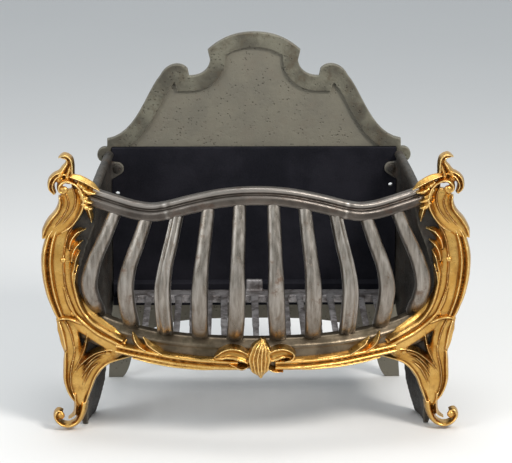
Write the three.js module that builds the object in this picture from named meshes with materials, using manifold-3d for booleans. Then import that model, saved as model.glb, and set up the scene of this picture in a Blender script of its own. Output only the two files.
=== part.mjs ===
// Louis XV pattern log grate: a bellied steel bar basket between iron cheeks, in front of a tall cast
// back, with gilt brass scroll mounts. Millimetres, +X right, +Y towards the back, +Z up.
// Heights are above the hearth. Y = 0 is the front plane of the front feet until the whole model is centred.

import * as THREE from 'three';
import { mergeVertices } from 'three/addons/utils/BufferGeometryUtils.js';
import Module from 'manifold-3d';

const wasm = await Module();
wasm.setup();

// ---------------------------------------------------------------- driving dimensions

const CLEARANCE = 0.3; // gap between pieces that lie against each other

const SIDE = 300; // half width of the basket at its belly
const RAIL = 412; // height of the top rail's centre line at its ends
const BELLY = 271; // height at which the bars stand out furthest
const SEAT = 180; // height at which the middle bars stand on the apron

const BACK_DEPTH = 290; // front plane to the rear face of the back casting
const BACK_PLATE = 8; // thickness of the back casting
const BACK_HALF_WIDTH = 262; // centre to the square ends of the border
const SHOULDER = 445; // height of the border's ends
const CROWN = 637; // height of the back casting
const BORDER_WIDTH = 27;
const BORDER_PROUD = 7;
const ARCH_HEIGHT = 112; // arch between the rear feet
const REAR_FOOT_WIDTH = 26;
const EAR_RADIUS = 14;

const LINER_TOP = 431;
const LINER_THICKNESS = 10;
const LINER_LEDGE = 184; // top of the thick band at the liner's foot
const LEDGE_PROUD = 9;
const BEARER = 9; // thickness of the lips that carry the bottom grate
const BEARER_REACH = 24; // how far the liner's lip stands out

const RAIL_HEIGHT = 30;
const RAIL_DEPTH = 20;
const RAIL_HALF_LENGTH = 284;
const RAIL_BOW = 56; // how far the rail's middle stands in front of its ends
const RAIL_CROWN = 10.5; // rise of the rail's middle above its ends
const RAIL_DIP = 22; // drop of the rail's two dips below its ends

const BAR_COUNT = 10;
const BAR_TOP_WIDTH = 21;
const BAR_FOOT_WIDTH = 28;
const BAR_DEPTH = 15;
const BAR_PITCH_TOP = 51;
const BAR_PITCH_BELLY = 62;
const BAR_PITCH_FOOT = 58;
const BELLY_BOW = 78; // how far the middle of the belly stands in front of its ends
const FOOT_BOW = 72; // the same at the bars' feet

const APRON_DROP = 50; // height of the apron below the bars' feet
const APRON_REAR_DROP = 34; // height of the apron's rear wall
const APRON_RISE = 37; // rise of the apron's ends above its middle
const APRON_SLOPE = 12; // fall of the apron's sloping face
const APRON_MEETS = 20; // the apron's ends meet the cheeks this far above the seat
const APRON_WALL = 6;
const APRON_STEP = 1.5; // fine step below the sloping face
const APRON_REACH = 16; // the sloping face ends this far outward from the line of the bars' feet

const CHEEK_WALL = 8;
const CHEEK_TOP_BACK = 421; // height of the cheek's top edge at the back casting
const CHEEK_ROLL = 8.5; // radius of the thick top edge
const SIDE_BOW = 20; // how far the cheek's front edge bellies forward
const SIDE_BOW_FOOT = 75; // the side bow starts this far below the seat
const SIDE_BOW_HEAD = 23; // and ends this far above the rail
const LEG_DEPTH = 86; // rear edge of the iron front leg, from the front plane
const LEG_RECESS = 16; // how far the leg's toe stands back behind the gilt foot

const GRATE_HALF_WIDTH = 244;
const GRATE_THICKNESS = 14;
const GRATE_PLAY = 3; // room round the loose grate
const FINGER_PITCH = 27;
const FINGER_WIDTH = 14;
const STRIP_WIDTH = 40; // rear cross strip of the grate
const FRONT_STRIP = 14;

const SCREW_HEAD = 4.6; // radius
const SCREW_SHANK = 2.4; // radius
const BOLT_HEAD = 8; // radius
const BOLT_SHANK = 4; // radius
const SCREW_SEAT = 10; // height of the screws' seats above the back of the mounts
const NUT_SIZE = 15;
const NUT_THICKNESS = 6;
const LUG = 7; // thickness of the cheeks' bolted lugs
const MOUNT_BED = 0.6; // gap behind the gilt mounts, which touch the iron only here and there
const BOLT_HEIGHT = RAIL - 18; // centre of the bolts that join the cheeks to the back
const SPARE_HOLE_DROPS = { left: 47, right: 32 }; // spare holes below the bolts, drilled by eye

// ---------------------------------------------------------------- finishes

function finish(color, metalness, roughness) {
  return new THREE.MeshStandardMaterial({ color, metalness, roughness });
}

const CAST_IRON = finish(0x4a4236, 0.6, 0.6);
const BLACK_IRON = finish(0x1c1b1d, 0.4, 0.8);
const STEEL = finish(0x8a8074, 0.9, 0.35);
const WORN_IRON = finish(0x8d8c90, 0.7, 0.55);
const GILT = finish(0xd09a35, 0.95, 0.28);

// ---------------------------------------------------------------- solids

const at = (x, y, z) => new THREE.Vector3(x, y, z);

function solid(geometry) {
  let shell = geometry.clone();
  shell.deleteAttribute('normal');
  shell.deleteAttribute('uv');
  shell = mergeVertices(shell, 1e-4);
  return new wasm.Manifold(
    new wasm.Mesh({
      numProp: 3,
      vertProperties: new Float32Array(shell.attributes.position.array),
      triVerts: new Uint32Array(shell.index.array),
    }),
  );
}

function join(solids) {
  return solids.reduce((whole, piece) => whole.add(piece));
}

// Cuts the body, and drops any shaving that a cut leaves loose
function cutAll(body, cutters) {
  const rest = cutters.reduce((left, cutter) => left.subtract(cutter), body);
  return rest.decompose().reduce((a, b) => (b.volume() > a.volume() ? b : a));
}

function mirror(body) {
  return body.mirror([1, 0, 0]);
}

function geometryOf(body) {
  const mesh = body.getMesh();
  const geometry = new THREE.BufferGeometry();
  geometry.setAttribute('position', new THREE.BufferAttribute(new Float32Array(mesh.vertProperties), 3));
  geometry.setIndex(new THREE.BufferAttribute(new Uint32Array(mesh.triVerts), 1));
  geometry.computeVertexNormals();
  return geometry;
}

// Triangles that close a ring of points, found in the ring's own plane
function capOf(ring) {
  const normal = at(0, 0, 0);
  ring.forEach((point, i) => {
    const next = ring[(i + 1) % ring.length];
    normal.add(new THREE.Vector3().crossVectors(point, next));
  });
  normal.normalize();
  const across = Math.abs(normal.x) < 0.9 ? at(1, 0, 0) : at(0, 1, 0);
  across.cross(normal).normalize();
  const up = new THREE.Vector3().crossVectors(normal, across);
  const flat = ring.map((point) => new THREE.Vector2(point.dot(across), point.dot(up)));
  return THREE.ShapeUtils.triangulateShape(flat, []);
}

// A closed skin through a row of rings with the same number of points
function loft(rings) {
  const count = rings[0].length;
  const faces = [];
  for (let i = 0; i + 1 < rings.length; i += 1) {
    for (let j = 0; j < count; j += 1) {
      const a = i * count + j;
      const b = i * count + ((j + 1) % count);
      faces.push([a, b, b + count], [a, b + count, a + count]);
    }
  }
  const last = (rings.length - 1) * count;
  capOf(rings[0]).forEach(([a, b, c]) => faces.push([c, b, a]));
  capOf(rings[rings.length - 1]).forEach(([a, b, c]) => faces.push([a + last, b + last, c + last]));
  const points = rings.flat();
  const volume = faces.reduce((sum, [a, b, c]) => {
    const cross = new THREE.Vector3().crossVectors(points[b], points[c]);
    return sum + points[a].dot(cross);
  }, 0);
  const index = volume > 0 ? faces.flat() : faces.map(([a, b, c]) => [a, c, b]).flat();
  const geometry = new THREE.BufferGeometry().setFromPoints(points);
  geometry.setIndex(index);
  return geometry;
}

// A section carried along a curve; sideAt gives the direction of the section's first axis
function sweep(curve, steps, sectionAt, sideAt) {
  const rings = [];
  for (let i = 0; i <= steps; i += 1) {
    const share = i / steps;
    const centre = curve.getPointAt(share);
    const along = curve.getTangentAt(share);
    const side = sideAt(along, centre).clone();
    side.addScaledVector(along, -side.dot(along)).normalize();
    const up = new THREE.Vector3().crossVectors(side, along);
    rings.push(
      sectionAt(share).map((point) =>
        centre.clone().addScaledVector(side, point.x).addScaledVector(up, point.y),
      ),
    );
  }
  return loft(rings);
}

// A smooth line through evenly spaced heights, level at its first one
function flowing(heights) {
  const last = heights.length - 1;
  return (share) => {
    const i = Math.min(Math.floor(share * last), last - 1);
    const t = share * last - i;
    const [p0, p1, p2, p3] = [Math.abs(i - 1), i, i + 1, Math.min(i + 2, last)].map((k) => heights[k]);
    const slope0 = (p2 - p0) / 2;
    const slope1 = (p3 - p1) / 2;
    const bend = 2 * p1 - 2 * p2 + slope0 + slope1;
    return p1 + t * (slope0 + t * (3 * (p2 - p1) - 2 * slope0 - slope1 + t * bend));
  };
}

// A value that changes smoothly through a few evenly spaced settings
function graded(values) {
  return (share) => {
    const place = Math.min(Math.max(share, 0), 1) * (values.length - 1);
    const i = Math.min(Math.floor(place), values.length - 2);
    return THREE.MathUtils.lerp(values[i], values[i + 1], THREE.MathUtils.smoothstep(place - i, 0, 1));
  };
}

function box(x0, x1, y0, y1, z0, z1) {
  const geometry = new THREE.BoxGeometry(x1 - x0, y1 - y0, z1 - z0);
  geometry.translate((x0 + x1) / 2, (y0 + y1) / 2, (z0 + z1) / 2);
  return solid(geometry);
}

// A round rod along Y
function rod(x, z, radius, y0, y1, sides) {
  const geometry = new THREE.CylinderGeometry(radius, radius, y1 - y0, sides);
  geometry.translate(x, (y0 + y1) / 2, z);
  return solid(geometry);
}

// A front-view outline (x, z) given a thickness along Y
function plate(outline, y0, y1, bevel = 0) {
  const shape = new THREE.Shape(outline.map(([x, z]) => new THREE.Vector2(x, z)));
  const geometry = new THREE.ExtrudeGeometry(shape, {
    depth: y1 - y0 - bevel,
    bevelEnabled: bevel > 0,
    bevelThickness: bevel,
    bevelSize: bevel,
    bevelOffset: -bevel,
    bevelSegments: 1,
    curveSegments: 8,
  });
  geometry.rotateX(Math.PI / 2);
  geometry.translate(0, y1, 0);
  return solid(geometry);
}

// ---------------------------------------------------------------- the basket's curves

// 1 at the middle of the basket, falling to 0 at the given half width
function bow(x, halfWidth) {
  return Math.cos((Math.PI / 2) * Math.min(Math.abs(x) / halfWidth, 1));
}

// The front edge of the cheeks and the gilt mounts, bellied forward between apron and rail
function sideFront(z) {
  const low = SEAT - SIDE_BOW_FOOT;
  const high = RAIL + SIDE_BOW_HEAD;
  const share = THREE.MathUtils.clamp((z - low) / (high - low), 0, 1);
  return -SIDE_BOW * Math.sin(Math.PI * share) ** 2;
}

const railEnd = sideFront(RAIL - RAIL_HEIGHT) - RAIL_DEPTH / 2 - CLEARANCE;

function railY(x) {
  return railEnd - RAIL_BOW * bow(x, RAIL_HALF_LENGTH);
}

const railRise = flowing([
  RAIL_CROWN,
  RAIL_CROWN * 0.9,
  RAIL_CROWN * 0.57,
  0,
  -RAIL_DIP * 0.34,
  -RAIL_DIP * 0.73,
  -RAIL_DIP,
  -RAIL_DIP * 0.93,
  -RAIL_DIP * 0.65,
  -RAIL_DIP * 0.32,
  0,
]);

// Cupid's bow in elevation: a crown at the middle, a dip each side, rising ends
function railZ(x) {
  return RAIL + railRise(Math.min(Math.abs(x) / RAIL_HALF_LENGTH, 1));
}

function bellyY(x) {
  return sideFront(BELLY) - 4 - BELLY_BOW * bow(x, SIDE);
}

const FOOT_HALF_WIDTH = SIDE - 10;

function footY(x) {
  return sideFront(SEAT + APRON_MEETS) + APRON_REACH - APRON_STEP - FOOT_BOW * bow(x, FOOT_HALF_WIDTH);
}

function footZ(x) {
  return SEAT + APRON_RISE * Math.min(Math.abs(x) / FOOT_HALF_WIDTH, 1) ** 4;
}

function spaceCurve(halfLength, yOf, zOf, count) {
  const points = [];
  for (let i = 0; i <= count; i += 1) {
    const x = THREE.MathUtils.lerp(-halfLength, halfLength, i / count);
    points.push(at(x, yOf(x), zOf(x)));
  }
  return new THREE.CatmullRomCurve3(points);
}

const railCurve = spaceCurve(RAIL_HALF_LENGTH, railY, railZ, 24);
const UP = at(0, 0, 1);

// Level direction pointing out of the basket, square to a curve that runs from left to right
function outward(along) {
  return new THREE.Vector3().crossVectors(along, UP);
}

// ---------------------------------------------------------------- back casting and liner

// Head of the back, right half: shares of the half width and of the rise from shoulder to crown
function headPoints() {
  const head = new THREE.Path();
  head.moveTo(0, 1);
  head.bezierCurveTo(0.13, 1.0, 0.23, 0.94, 0.313, 0.835);
  head.lineTo(0.297, 0.745);
  head.bezierCurveTo(0.3, 0.66, 0.35, 0.59, 0.439, 0.592);
  head.lineTo(0.45, 0.66);
  head.bezierCurveTo(0.49, 0.73, 0.59, 0.72, 0.635, 0.595);
  head.bezierCurveTo(0.735, 0.44, 0.8, 0.04, 1, 0);
  const rise = CROWN - SHOULDER;
  return head.getPoints(4).map((p) => [p.x * BACK_HALF_WIDTH, SHOULDER + p.y * rise]);
}

function mirrored(points) {
  return points.map(([x, z]) => [-x, z]);
}

// The same line moved inwards by the width of the border, with crossed stretches trimmed off
function inset(line, distance) {
  const nearest = (x, z) => {
    let best = Infinity;
    for (let i = 0; i + 1 < line.length; i += 1) {
      const [ax, az] = line[i];
      const [bx, bz] = line[i + 1];
      const lengthSquared = (bx - ax) ** 2 + (bz - az) ** 2;
      const share = ((x - ax) * (bx - ax) + (z - az) * (bz - az)) / lengthSquared;
      const t = THREE.MathUtils.clamp(share, 0, 1);
      best = Math.min(best, Math.hypot(x - ax - t * (bx - ax), z - az - t * (bz - az)));
    }
    return best;
  };
  const normals = line.slice(1).map(([bx, bz], i) => {
    const [ax, az] = line[i];
    const length = Math.hypot(bx - ax, bz - az);
    return [(bz - az) / length, (ax - bx) / length];
  });
  const moved = [];
  line.forEach(([x, z], i) => {
    const [ax, az] = normals[Math.max(i - 1, 0)];
    const [bx, bz] = normals[Math.min(i, normals.length - 1)];
    const reach = distance / Math.max(1 + ax * bx + az * bz, 0.35);
    const to = [x + (ax + bx) * reach, z + (az + bz) * reach];
    if (nearest(...to) > distance - 0.4) {
      moved.push(to);
    }
  });
  return moved;
}

function headLine() {
  const right = headPoints();
  return [...mirrored(right).reverse().slice(0, -1), ...right];
}

const boltX = BACK_HALF_WIDTH - 18;
const earX = BACK_HALF_WIDTH + 4;
const earZ = SHOULDER - 28;
const backFace = BACK_DEPTH - BACK_PLATE;
const linerFront = backFace - CLEARANCE - LINER_THICKNESS;
const linerHalfWidth = BACK_HALF_WIDTH - CHEEK_WALL - CLEARANCE;

function backCasting() {
  const foot = REAR_FOOT_WIDTH;
  const edge = BACK_HALF_WIDTH;
  const arch = new THREE.Path();
  arch.moveTo(edge + 4 - foot, 0);
  arch.bezierCurveTo(edge - foot - 14, 18, edge - foot - 10, 52, edge - foot - 26, 74);
  arch.bezierCurveTo(edge - foot - 60, 108, edge - foot - 110, ARCH_HEIGHT, 0, ARCH_HEIGHT);
  const archRight = arch.getPoints(6).map((p) => [p.x, p.y]);
  const side = [
    [edge, 60],
    [edge + 4, 0],
  ];
  const right = [...headPoints(), ...side, ...archRight];
  const outline = [...right, ...mirrored(right).reverse().slice(1, -1)];
  const border = headLine();
  const inner = inset(border, BORDER_WIDTH).filter(([x]) => Math.abs(x) < edge);
  const z = inner[0][1];
  const ring = [...border, [edge, z], ...inner.reverse(), [-edge, z]];
  const proud = backFace - BORDER_PROUD;
  const pieces = [plate(outline, backFace, BACK_DEPTH), plate(ring, proud, backFace + 1, 1.5)];
  for (const hand of [-1, 1]) {
    pieces.push(rod(hand * earX, earZ, EAR_RADIUS, proud, BACK_DEPTH, 16));
  }
  const gap = CLEARANCE;
  const recess = box(-linerHalfWidth - gap, linerHalfWidth + gap, linerFront, backFace, 0, LINER_TOP + gap);
  return cutAll(join(pieces), [recess, ...boltBores(backFace - 9, BACK_DEPTH + 9)]);
}

// Holes for the cheeks' bolts, with a spare hole below each
function boltBores(y0, y1) {
  const bore = (x, z) => rod(x, z, BOLT_SHANK + CLEARANCE, y0, y1, 8);
  return [
    bore(-boltX, BOLT_HEIGHT),
    bore(boltX, BOLT_HEIGHT),
    bore(-boltX, BOLT_HEIGHT - SPARE_HOLE_DROPS.left),
    bore(boltX, BOLT_HEIGHT - SPARE_HOLE_DROPS.right),
  ];
}

const grateTop = SEAT - 8;
const grateFoot = grateTop - GRATE_THICKNESS;
const bearerTop = grateFoot - CLEARANCE;

// Side profile of the liner, a plate with a thick band at its foot and a lip for the bottom grate
function liner() {
  const rear = linerFront + LINER_THICKNESS;
  const ledge = linerFront - LEDGE_PROUD;
  const lip = ledge - BEARER_REACH;
  const profile = new THREE.Shape();
  profile.moveTo(rear, bearerTop - BEARER);
  profile.lineTo(rear, LINER_TOP);
  profile.lineTo(linerFront + 2, LINER_TOP);
  profile.lineTo(linerFront, LINER_TOP - 2);
  profile.lineTo(linerFront, LINER_LEDGE + 3);
  profile.lineTo(ledge + 3, LINER_LEDGE);
  profile.lineTo(ledge, LINER_LEDGE - 3);
  profile.lineTo(ledge, bearerTop);
  profile.lineTo(lip, bearerTop);
  profile.lineTo(lip, bearerTop - BEARER);
  const geometry = new THREE.ExtrudeGeometry(profile, { depth: 2 * linerHalfWidth, bevelEnabled: false });
  geometry.rotateX(Math.PI / 2);
  geometry.rotateZ(Math.PI / 2);
  geometry.translate(-linerHalfWidth, 0, 0);
  return cutAll(solid(geometry), boltBores(ledge, rear + 9));
}

// ---------------------------------------------------------------- rail, apron and bars

// Half-round ridge over a groove over a wider ridge
function railSection() {
  const h = RAIL_HEIGHT / 2;
  const d = RAIL_DEPTH / 2;
  return [
    [-d, -h + 3],
    [-d, h - 4],
    [-d + 5, h],
    [d - 9, h],
    [d - 4, h - 3],
    [d - 3, h - 8],
    [d - 6, h - 11],
    [d - 4, h - 14],
    [d, h - 18],
    [d, -h + 4],
    [d - 4, -h],
    [-d + 3, -h],
  ].map(([x, y]) => new THREE.Vector2(x, y));
}

// Plain bar round the rail, for trimming what meets it
function railGuardSection() {
  const h = RAIL_HEIGHT / 2 + CLEARANCE;
  const d = RAIL_DEPTH / 2 + CLEARANCE;
  return [
    [-d, -h],
    [-d, h],
    [d, h],
    [d, -h],
  ].map(([x, y]) => new THREE.Vector2(x, y));
}

function railSweep(section) {
  return solid(
    sweep(
      railCurve,
      RAIL_STEPS,
      () => section,
      (along) => outward(along),
    ),
  );
}

function apronCurve() {
  return spaceCurve(FOOT_HALF_WIDTH + 4, footY, footZ, 24);
}

function apronSweep(points) {
  const section = points.map(([x, y]) => new THREE.Vector2(x, y));
  return solid(
    sweep(
      apronCurve(),
      APRON_STEPS,
      () => section,
      (along) => outward(along),
    ),
  );
}

const apronEnd = SIDE - 20;
const apronBack = BAR_DEPTH / 2 + 4; // the apron's top reaches this far inward of the bars' feet
const APRON_STEPS = 18;
const RAIL_STEPS = 28;
const BAR_STEPS = 9;

// Front edge of the bottom grate, clear of the rail and the apron so that it lifts straight out
function grateFront(x) {
  return Math.max(railY(x) + RAIL_DEPTH / 2, footY(x) + apronBack) + GRATE_PLAY;
}

// The apron's section, outward and up from the bars' feet, with every face moved out by grow
function apronSkirt(grow) {
  const lip = APRON_REACH + grow;
  const front = APRON_REACH - APRON_STEP + grow;
  const inside = APRON_REACH - APRON_STEP - APRON_WALL - grow;
  const foot = -APRON_DROP - grow;
  const under = -APRON_WALL - 1 - grow;
  const rear = -apronBack - grow;
  return apronSweep([
    [rear, grow],
    [4, grow],
    [lip, -APRON_SLOPE + grow],
    [lip, -APRON_SLOPE - 3 - grow],
    [front, -APRON_SLOPE - 4 - grow],
    [front, foot],
    [inside, foot],
    [inside, -APRON_SLOPE - 6 - grow],
    [0, under],
    [rear + APRON_WALL + 2 * grow, under],
    [rear + APRON_WALL + 2 * grow, -APRON_REAR_DROP - grow],
    [rear, -APRON_REAR_DROP - grow],
  ]);
}

function apron() {
  const shelf = new THREE.Shape();
  const reach = 200;
  const steps = 12;
  for (let i = 0; i <= steps; i += 1) {
    const x = THREE.MathUtils.lerp(-reach, reach, i / steps);
    const y = footY(x) + apronBack - 3;
    if (i === 0) {
      shelf.moveTo(x, y);
    } else {
      shelf.lineTo(x, y);
    }
  }
  for (let i = steps; i >= 0; i -= 1) {
    const x = THREE.MathUtils.lerp(-reach, reach, i / steps);
    shelf.lineTo(x, grateFront(x) + FRONT_STRIP - 2);
  }
  const slab = new THREE.ExtrudeGeometry(shelf, { depth: BEARER, bevelEnabled: false });
  slab.translate(0, 0, bearerTop - BEARER);
  const trim = box(-apronEnd, apronEnd, -300, 200, 0, 400);
  return join([apronSkirt(0), solid(slab)]).intersect(trim);
}

// D section, or three reeds across the face, with a flat back
function barSection(width, reeded) {
  const face = [];
  const steps = reeded ? 9 : 4;
  for (let i = 0; i <= steps; i += 1) {
    const across = Math.cos((Math.PI * i) / steps);
    const dome = Math.sin((Math.PI * i) / steps) ** 0.8;
    const reed = reeded ? 0.72 + 0.28 * Math.abs(Math.sin((3 * Math.PI * i) / steps)) : 1;
    face.push(new THREE.Vector2((across * width) / 2, -BAR_DEPTH * 0.1 + dome * reed * BAR_DEPTH * 0.6));
  }
  const back = -BAR_DEPTH / 2;
  const half = width / 2;
  return [...face, new THREE.Vector2(-half * 0.94, back), new THREE.Vector2(half * 0.94, back)];
}

function barCurve(hand, i) {
  const top = hand * (BAR_PITCH_TOP * (i + 0.54));
  const belly = hand * (BAR_PITCH_BELLY * (i + 0.52));
  const foot = hand * (BAR_PITCH_FOOT * (i + 0.62));
  const topY = railY(top) + 1;
  const topZ = railZ(top) - 4;
  const bellyFront = bellyY(belly);
  const mid = (share, a, b) => THREE.MathUtils.lerp(a, b, share);
  return new THREE.CatmullRomCurve3([
    at(top, topY, topZ),
    at(mid(0.42, top, belly), mid(0.42, topY, bellyFront) - 2, mid(0.4, topZ, BELLY)),
    at(mid(0.82, top, belly), mid(0.84, topY, bellyFront), mid(0.76, topZ, BELLY)),
    at(belly, bellyFront, BELLY - 8),
    at(mid(0.35, belly, foot), bellyFront + 5, mid(0.55, BELLY, footZ(foot))),
    at(mid(0.8, belly, foot), mid(0.55, bellyFront, footY(foot)), footZ(foot) + 12),
    at(foot, footY(foot) + 2, footZ(foot) - 6),
  ]);
}

function bar(hand, i, reeded) {
  const curve = barCurve(hand, i);
  const belly = hand * (BAR_PITCH_BELLY * (i + 0.52));
  const slope = (bellyY(belly + 1) - bellyY(belly - 1)) / 2;
  const across = at(-1, -slope, 0).normalize();
  const width = graded([BAR_TOP_WIDTH, BAR_TOP_WIDTH + 2, BAR_FOOT_WIDTH, BAR_FOOT_WIDTH]);
  const blank = solid(
    sweep(
      curve,
      BAR_STEPS,
      (share) => barSection(width(share), reeded),
      () => across,
    ),
  );
  const c = CLEARANCE;
  const wide = BAR_DEPTH * 3;
  const under = apronSweep([
    [-wide, c],
    [4, c],
    [APRON_REACH + c, -APRON_SLOPE + c],
    [wide, -wide],
    [wide, -2 * wide],
    [-wide, -2 * wide],
  ]);
  return cutAll(blank, [railGuard, under]);
}

// ---------------------------------------------------------------- cheeks

// Screws that hold each side mount, front view
const screwPlaces = [
  [SIDE + 22, BELLY + 32],
  [SIDE + 7, SEAT + 29],
  [SIDE - 50, SEAT - 41],
];

// Front view of the cheek's front flange and side wall, as [x, z] from the floor to the top
const GUSSET = 60; // how far the flange reaches inward below the apron's end
const flangeInner = [
  [SIDE - 12, 0],
  [SIDE - 14, 40],
  [SIDE - 22, SEAT - 88],
  [SIDE - GUSSET + 6, SEAT - 62],
  [SIDE - GUSSET, SEAT - 45],
  [SIDE - GUSSET + 8, SEAT - 30],
  [apronEnd + CLEARANCE, SEAT - 16],
  [apronEnd + CLEARANCE, SEAT + 12],
  [SIDE - 12, SEAT + 34],
  [SIDE - 3, BELLY - 30],
  [SIDE - 3, BELLY + 4],
  [SIDE - 16, BELLY + 50],
  [SIDE - 30, BELLY + 85],
  [SIDE - 38, RAIL - 6],
];
const flangeOuter = [
  [SIDE - 2, 0],
  [SIDE + 2, 40],
  [SIDE + 18, SEAT - 88],
  [SIDE + 20, SEAT - 50],
  [SIDE + 28, SEAT + 2],
  [SIDE + 42, SEAT + 34],
  [SIDE + 53, BELLY - 30],
  [SIDE + 57, BELLY + 4],
  [SIDE + 55, BELLY + 50],
  [SIDE + 32, BELLY + 85],
  [SIDE + 14, RAIL - 6],
];
const wallFront = [
  [SIDE - 10, 0],
  [SIDE - 14, 50],
  [SIDE - 12, SEAT],
  [SIDE + 4, BELLY - 30],
  [SIDE + 5, BELLY + 4],
  [SIDE - 10, BELLY + 50],
  [SIDE - 30, RAIL - 6],
];
const wallRear = [
  [SIDE - 22, 0],
  [SIDE - 38, 50],
  [BACK_HALF_WIDTH - CHEEK_WALL, SEAT - 60],
  [BACK_HALF_WIDTH - CHEEK_WALL, RAIL - 6],
];

function edgeAt(edge, z) {
  const i = Math.max(
    edge.findIndex((point) => point[1] >= z),
    1,
  );
  const [x0, z0] = edge[i - 1];
  const [x1, z1] = edge[i];
  return THREE.MathUtils.lerp(x0, x1, (z - z0) / (z1 - z0));
}

const cheekTop = RAIL - 6;

// Level sections of the cheek, grown outward to cut what lies against it
function cheekRings(grow) {
  const levels = [
    0, 30, 60, SEAT - 88, SEAT - 75, SEAT - 62, SEAT - 45, SEAT - 30, SEAT - 16, SEAT + 12, SEAT + 34,
    BELLY - 30, BELLY + 4, BELLY + 50, BELLY + 85, RAIL - 30, cheekTop,
  ];
  const rear = backFace - CLEARANCE;
  const t = CHEEK_WALL;
  return levels.map((z, i) => {
    const recess = LEG_RECESS * (1 - THREE.MathUtils.smoothstep(z, 0, 60));
    const front = sideFront(z) + recess;
    const inner = edgeAt(flangeInner, z);
    const outer = edgeAt(flangeOuter, z);
    const wall = edgeAt(wallFront, z);
    const open = THREE.MathUtils.smoothstep(z, SEAT - 80, SEAT - 28);
    const depth = THREE.MathUtils.lerp(LEG_DEPTH, rear, open);
    const rearX = edgeAt(wallRear, z);
    const midX = THREE.MathUtils.lerp(wall, rearX, 0.42);
    const midY = THREE.MathUtils.lerp(front + t, depth, 0.55);
    const climb = (CHEEK_TOP_BACK - cheekTop) * THREE.MathUtils.smoothstep(z, BELLY, cheekTop);
    const level = i === 0 ? z - grow : z;
    return [
      at(outer + grow, front - grow, level),
      at(outer + grow, front + t + grow, level),
      at(wall + t + grow, front + t + grow, level),
      at(midX + t + grow, midY, level + climb * 0.5),
      at(rearX + t + grow, depth, level + climb),
      at(rearX - grow, depth, level + climb),
      at(midX - grow, midY, level + climb * 0.5),
      at(wall - grow, front + t + grow, level),
      at(inner - grow, front + t + grow, level),
      at(inner - grow, front - grow, level),
    ];
  });
}

function cheek() {
  const rings = cheekRings(0);
  const top = rings[rings.length - 1];
  const half = CHEEK_WALL / 2;
  const sink = 3;
  const edge = new THREE.CatmullRomCurve3([
    at(top[5].x + half, linerFront - CLEARANCE, top[5].z - sink),
    at(top[6].x + half, top[6].y, top[6].z - sink),
    at(top[7].x + half, top[7].y + 1, top[7].z - sink),
  ]);
  const circle = new THREE.EllipseCurve(0, 0, CHEEK_ROLL, CHEEK_ROLL, 0, 2 * Math.PI).getPoints(8).slice(0, 8);
  const roll = sweep(
    edge,
    5,
    () => circle,
    (along) => outward(along),
  );
  const lugFace = linerFront - CLEARANCE;
  const lug = new THREE.Path();
  lug.moveTo(BACK_HALF_WIDTH - 2, BOLT_HEIGHT - 24);
  lug.lineTo(BACK_HALF_WIDTH - 2, BOLT_HEIGHT + 14);
  lug.lineTo(boltX, BOLT_HEIGHT + 12);
  lug.absarc(boltX, BOLT_HEIGHT, 12, Math.PI / 2, 1.35 * Math.PI);
  const lugLine = lug.getPoints(5).map((p) => [p.x, p.y]);
  const casting = join([solid(loft(rings)), solid(roll), plate(lugLine, lugFace - LUG, lugFace)]);
  const proud = backFace - BORDER_PROUD - CLEARANCE;
  const borderFoot = SHOULDER - BORDER_WIDTH - CLEARANCE;
  return cutAll(casting, [
    rod(boltX, BOLT_HEIGHT, BOLT_SHANK + CLEARANCE, lugFace - 20, lugFace + 2, 10),
    rod(earX, earZ, EAR_RADIUS + CLEARANCE, proud, BACK_DEPTH, 16),
    box(0, BACK_HALF_WIDTH + CLEARANCE, proud, BACK_DEPTH, borderFoot, SHOULDER),
    ...screwPlaces.map(([x, z]) =>
      rod(x, z, SCREW_SHANK + CLEARANCE, sideFront(z) - 20, sideFront(z) + CHEEK_WALL + 20, 8),
    ),
  ]);
}

// ---------------------------------------------------------------- bottom grate

function bottomGrate() {
  const rear = linerFront - LEDGE_PROUD - GRATE_PLAY;
  const w = GRATE_HALF_WIDTH;
  const pieces = [box(-w, w, rear - STRIP_WIDTH, rear, grateFoot, grateTop)];
  const fingers = 2 * Math.floor((w - FINGER_WIDTH / 2) / FINGER_PITCH) + 1;
  for (let i = 0; i < fingers; i += 1) {
    const x = (i - (fingers - 1) / 2) * FINGER_PITCH;
    const half = FINGER_WIDTH / 2;
    const front = grateFront(Math.abs(x) + half) + 2;
    const section = (y, s) => [
      at(x - half * s, y, grateTop),
      at(x - half * 0.45, y, grateFoot),
      at(x + half * 0.45, y, grateFoot),
      at(x + half * s, y, grateTop),
    ];
    pieces.push(solid(loft([section(front, 0.8), section(rear - STRIP_WIDTH + 4, 1)])));
  }
  const strip = new THREE.Shape();
  const steps = 10;
  for (let i = 0; i <= steps; i += 1) {
    const x = THREE.MathUtils.lerp(-w, w, i / steps);
    if (i === 0) {
      strip.moveTo(x, grateFront(x));
    } else {
      strip.lineTo(x, grateFront(x));
    }
  }
  for (let i = steps; i >= 0; i -= 1) {
    const x = THREE.MathUtils.lerp(-w, w, i / steps);
    strip.lineTo(x, grateFront(x) + FRONT_STRIP);
  }
  const slab = new THREE.ExtrudeGeometry(strip, { depth: GRATE_THICKNESS - 2, bevelEnabled: false });
  slab.translate(0, 0, grateFoot);
  pieces.push(solid(slab));
  pieces.push(box(-15, 15, rear - 10, rear, grateFoot, grateTop + 20));
  return join(pieces);
}

// ---------------------------------------------------------------- gilt mounts (right hand)

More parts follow.
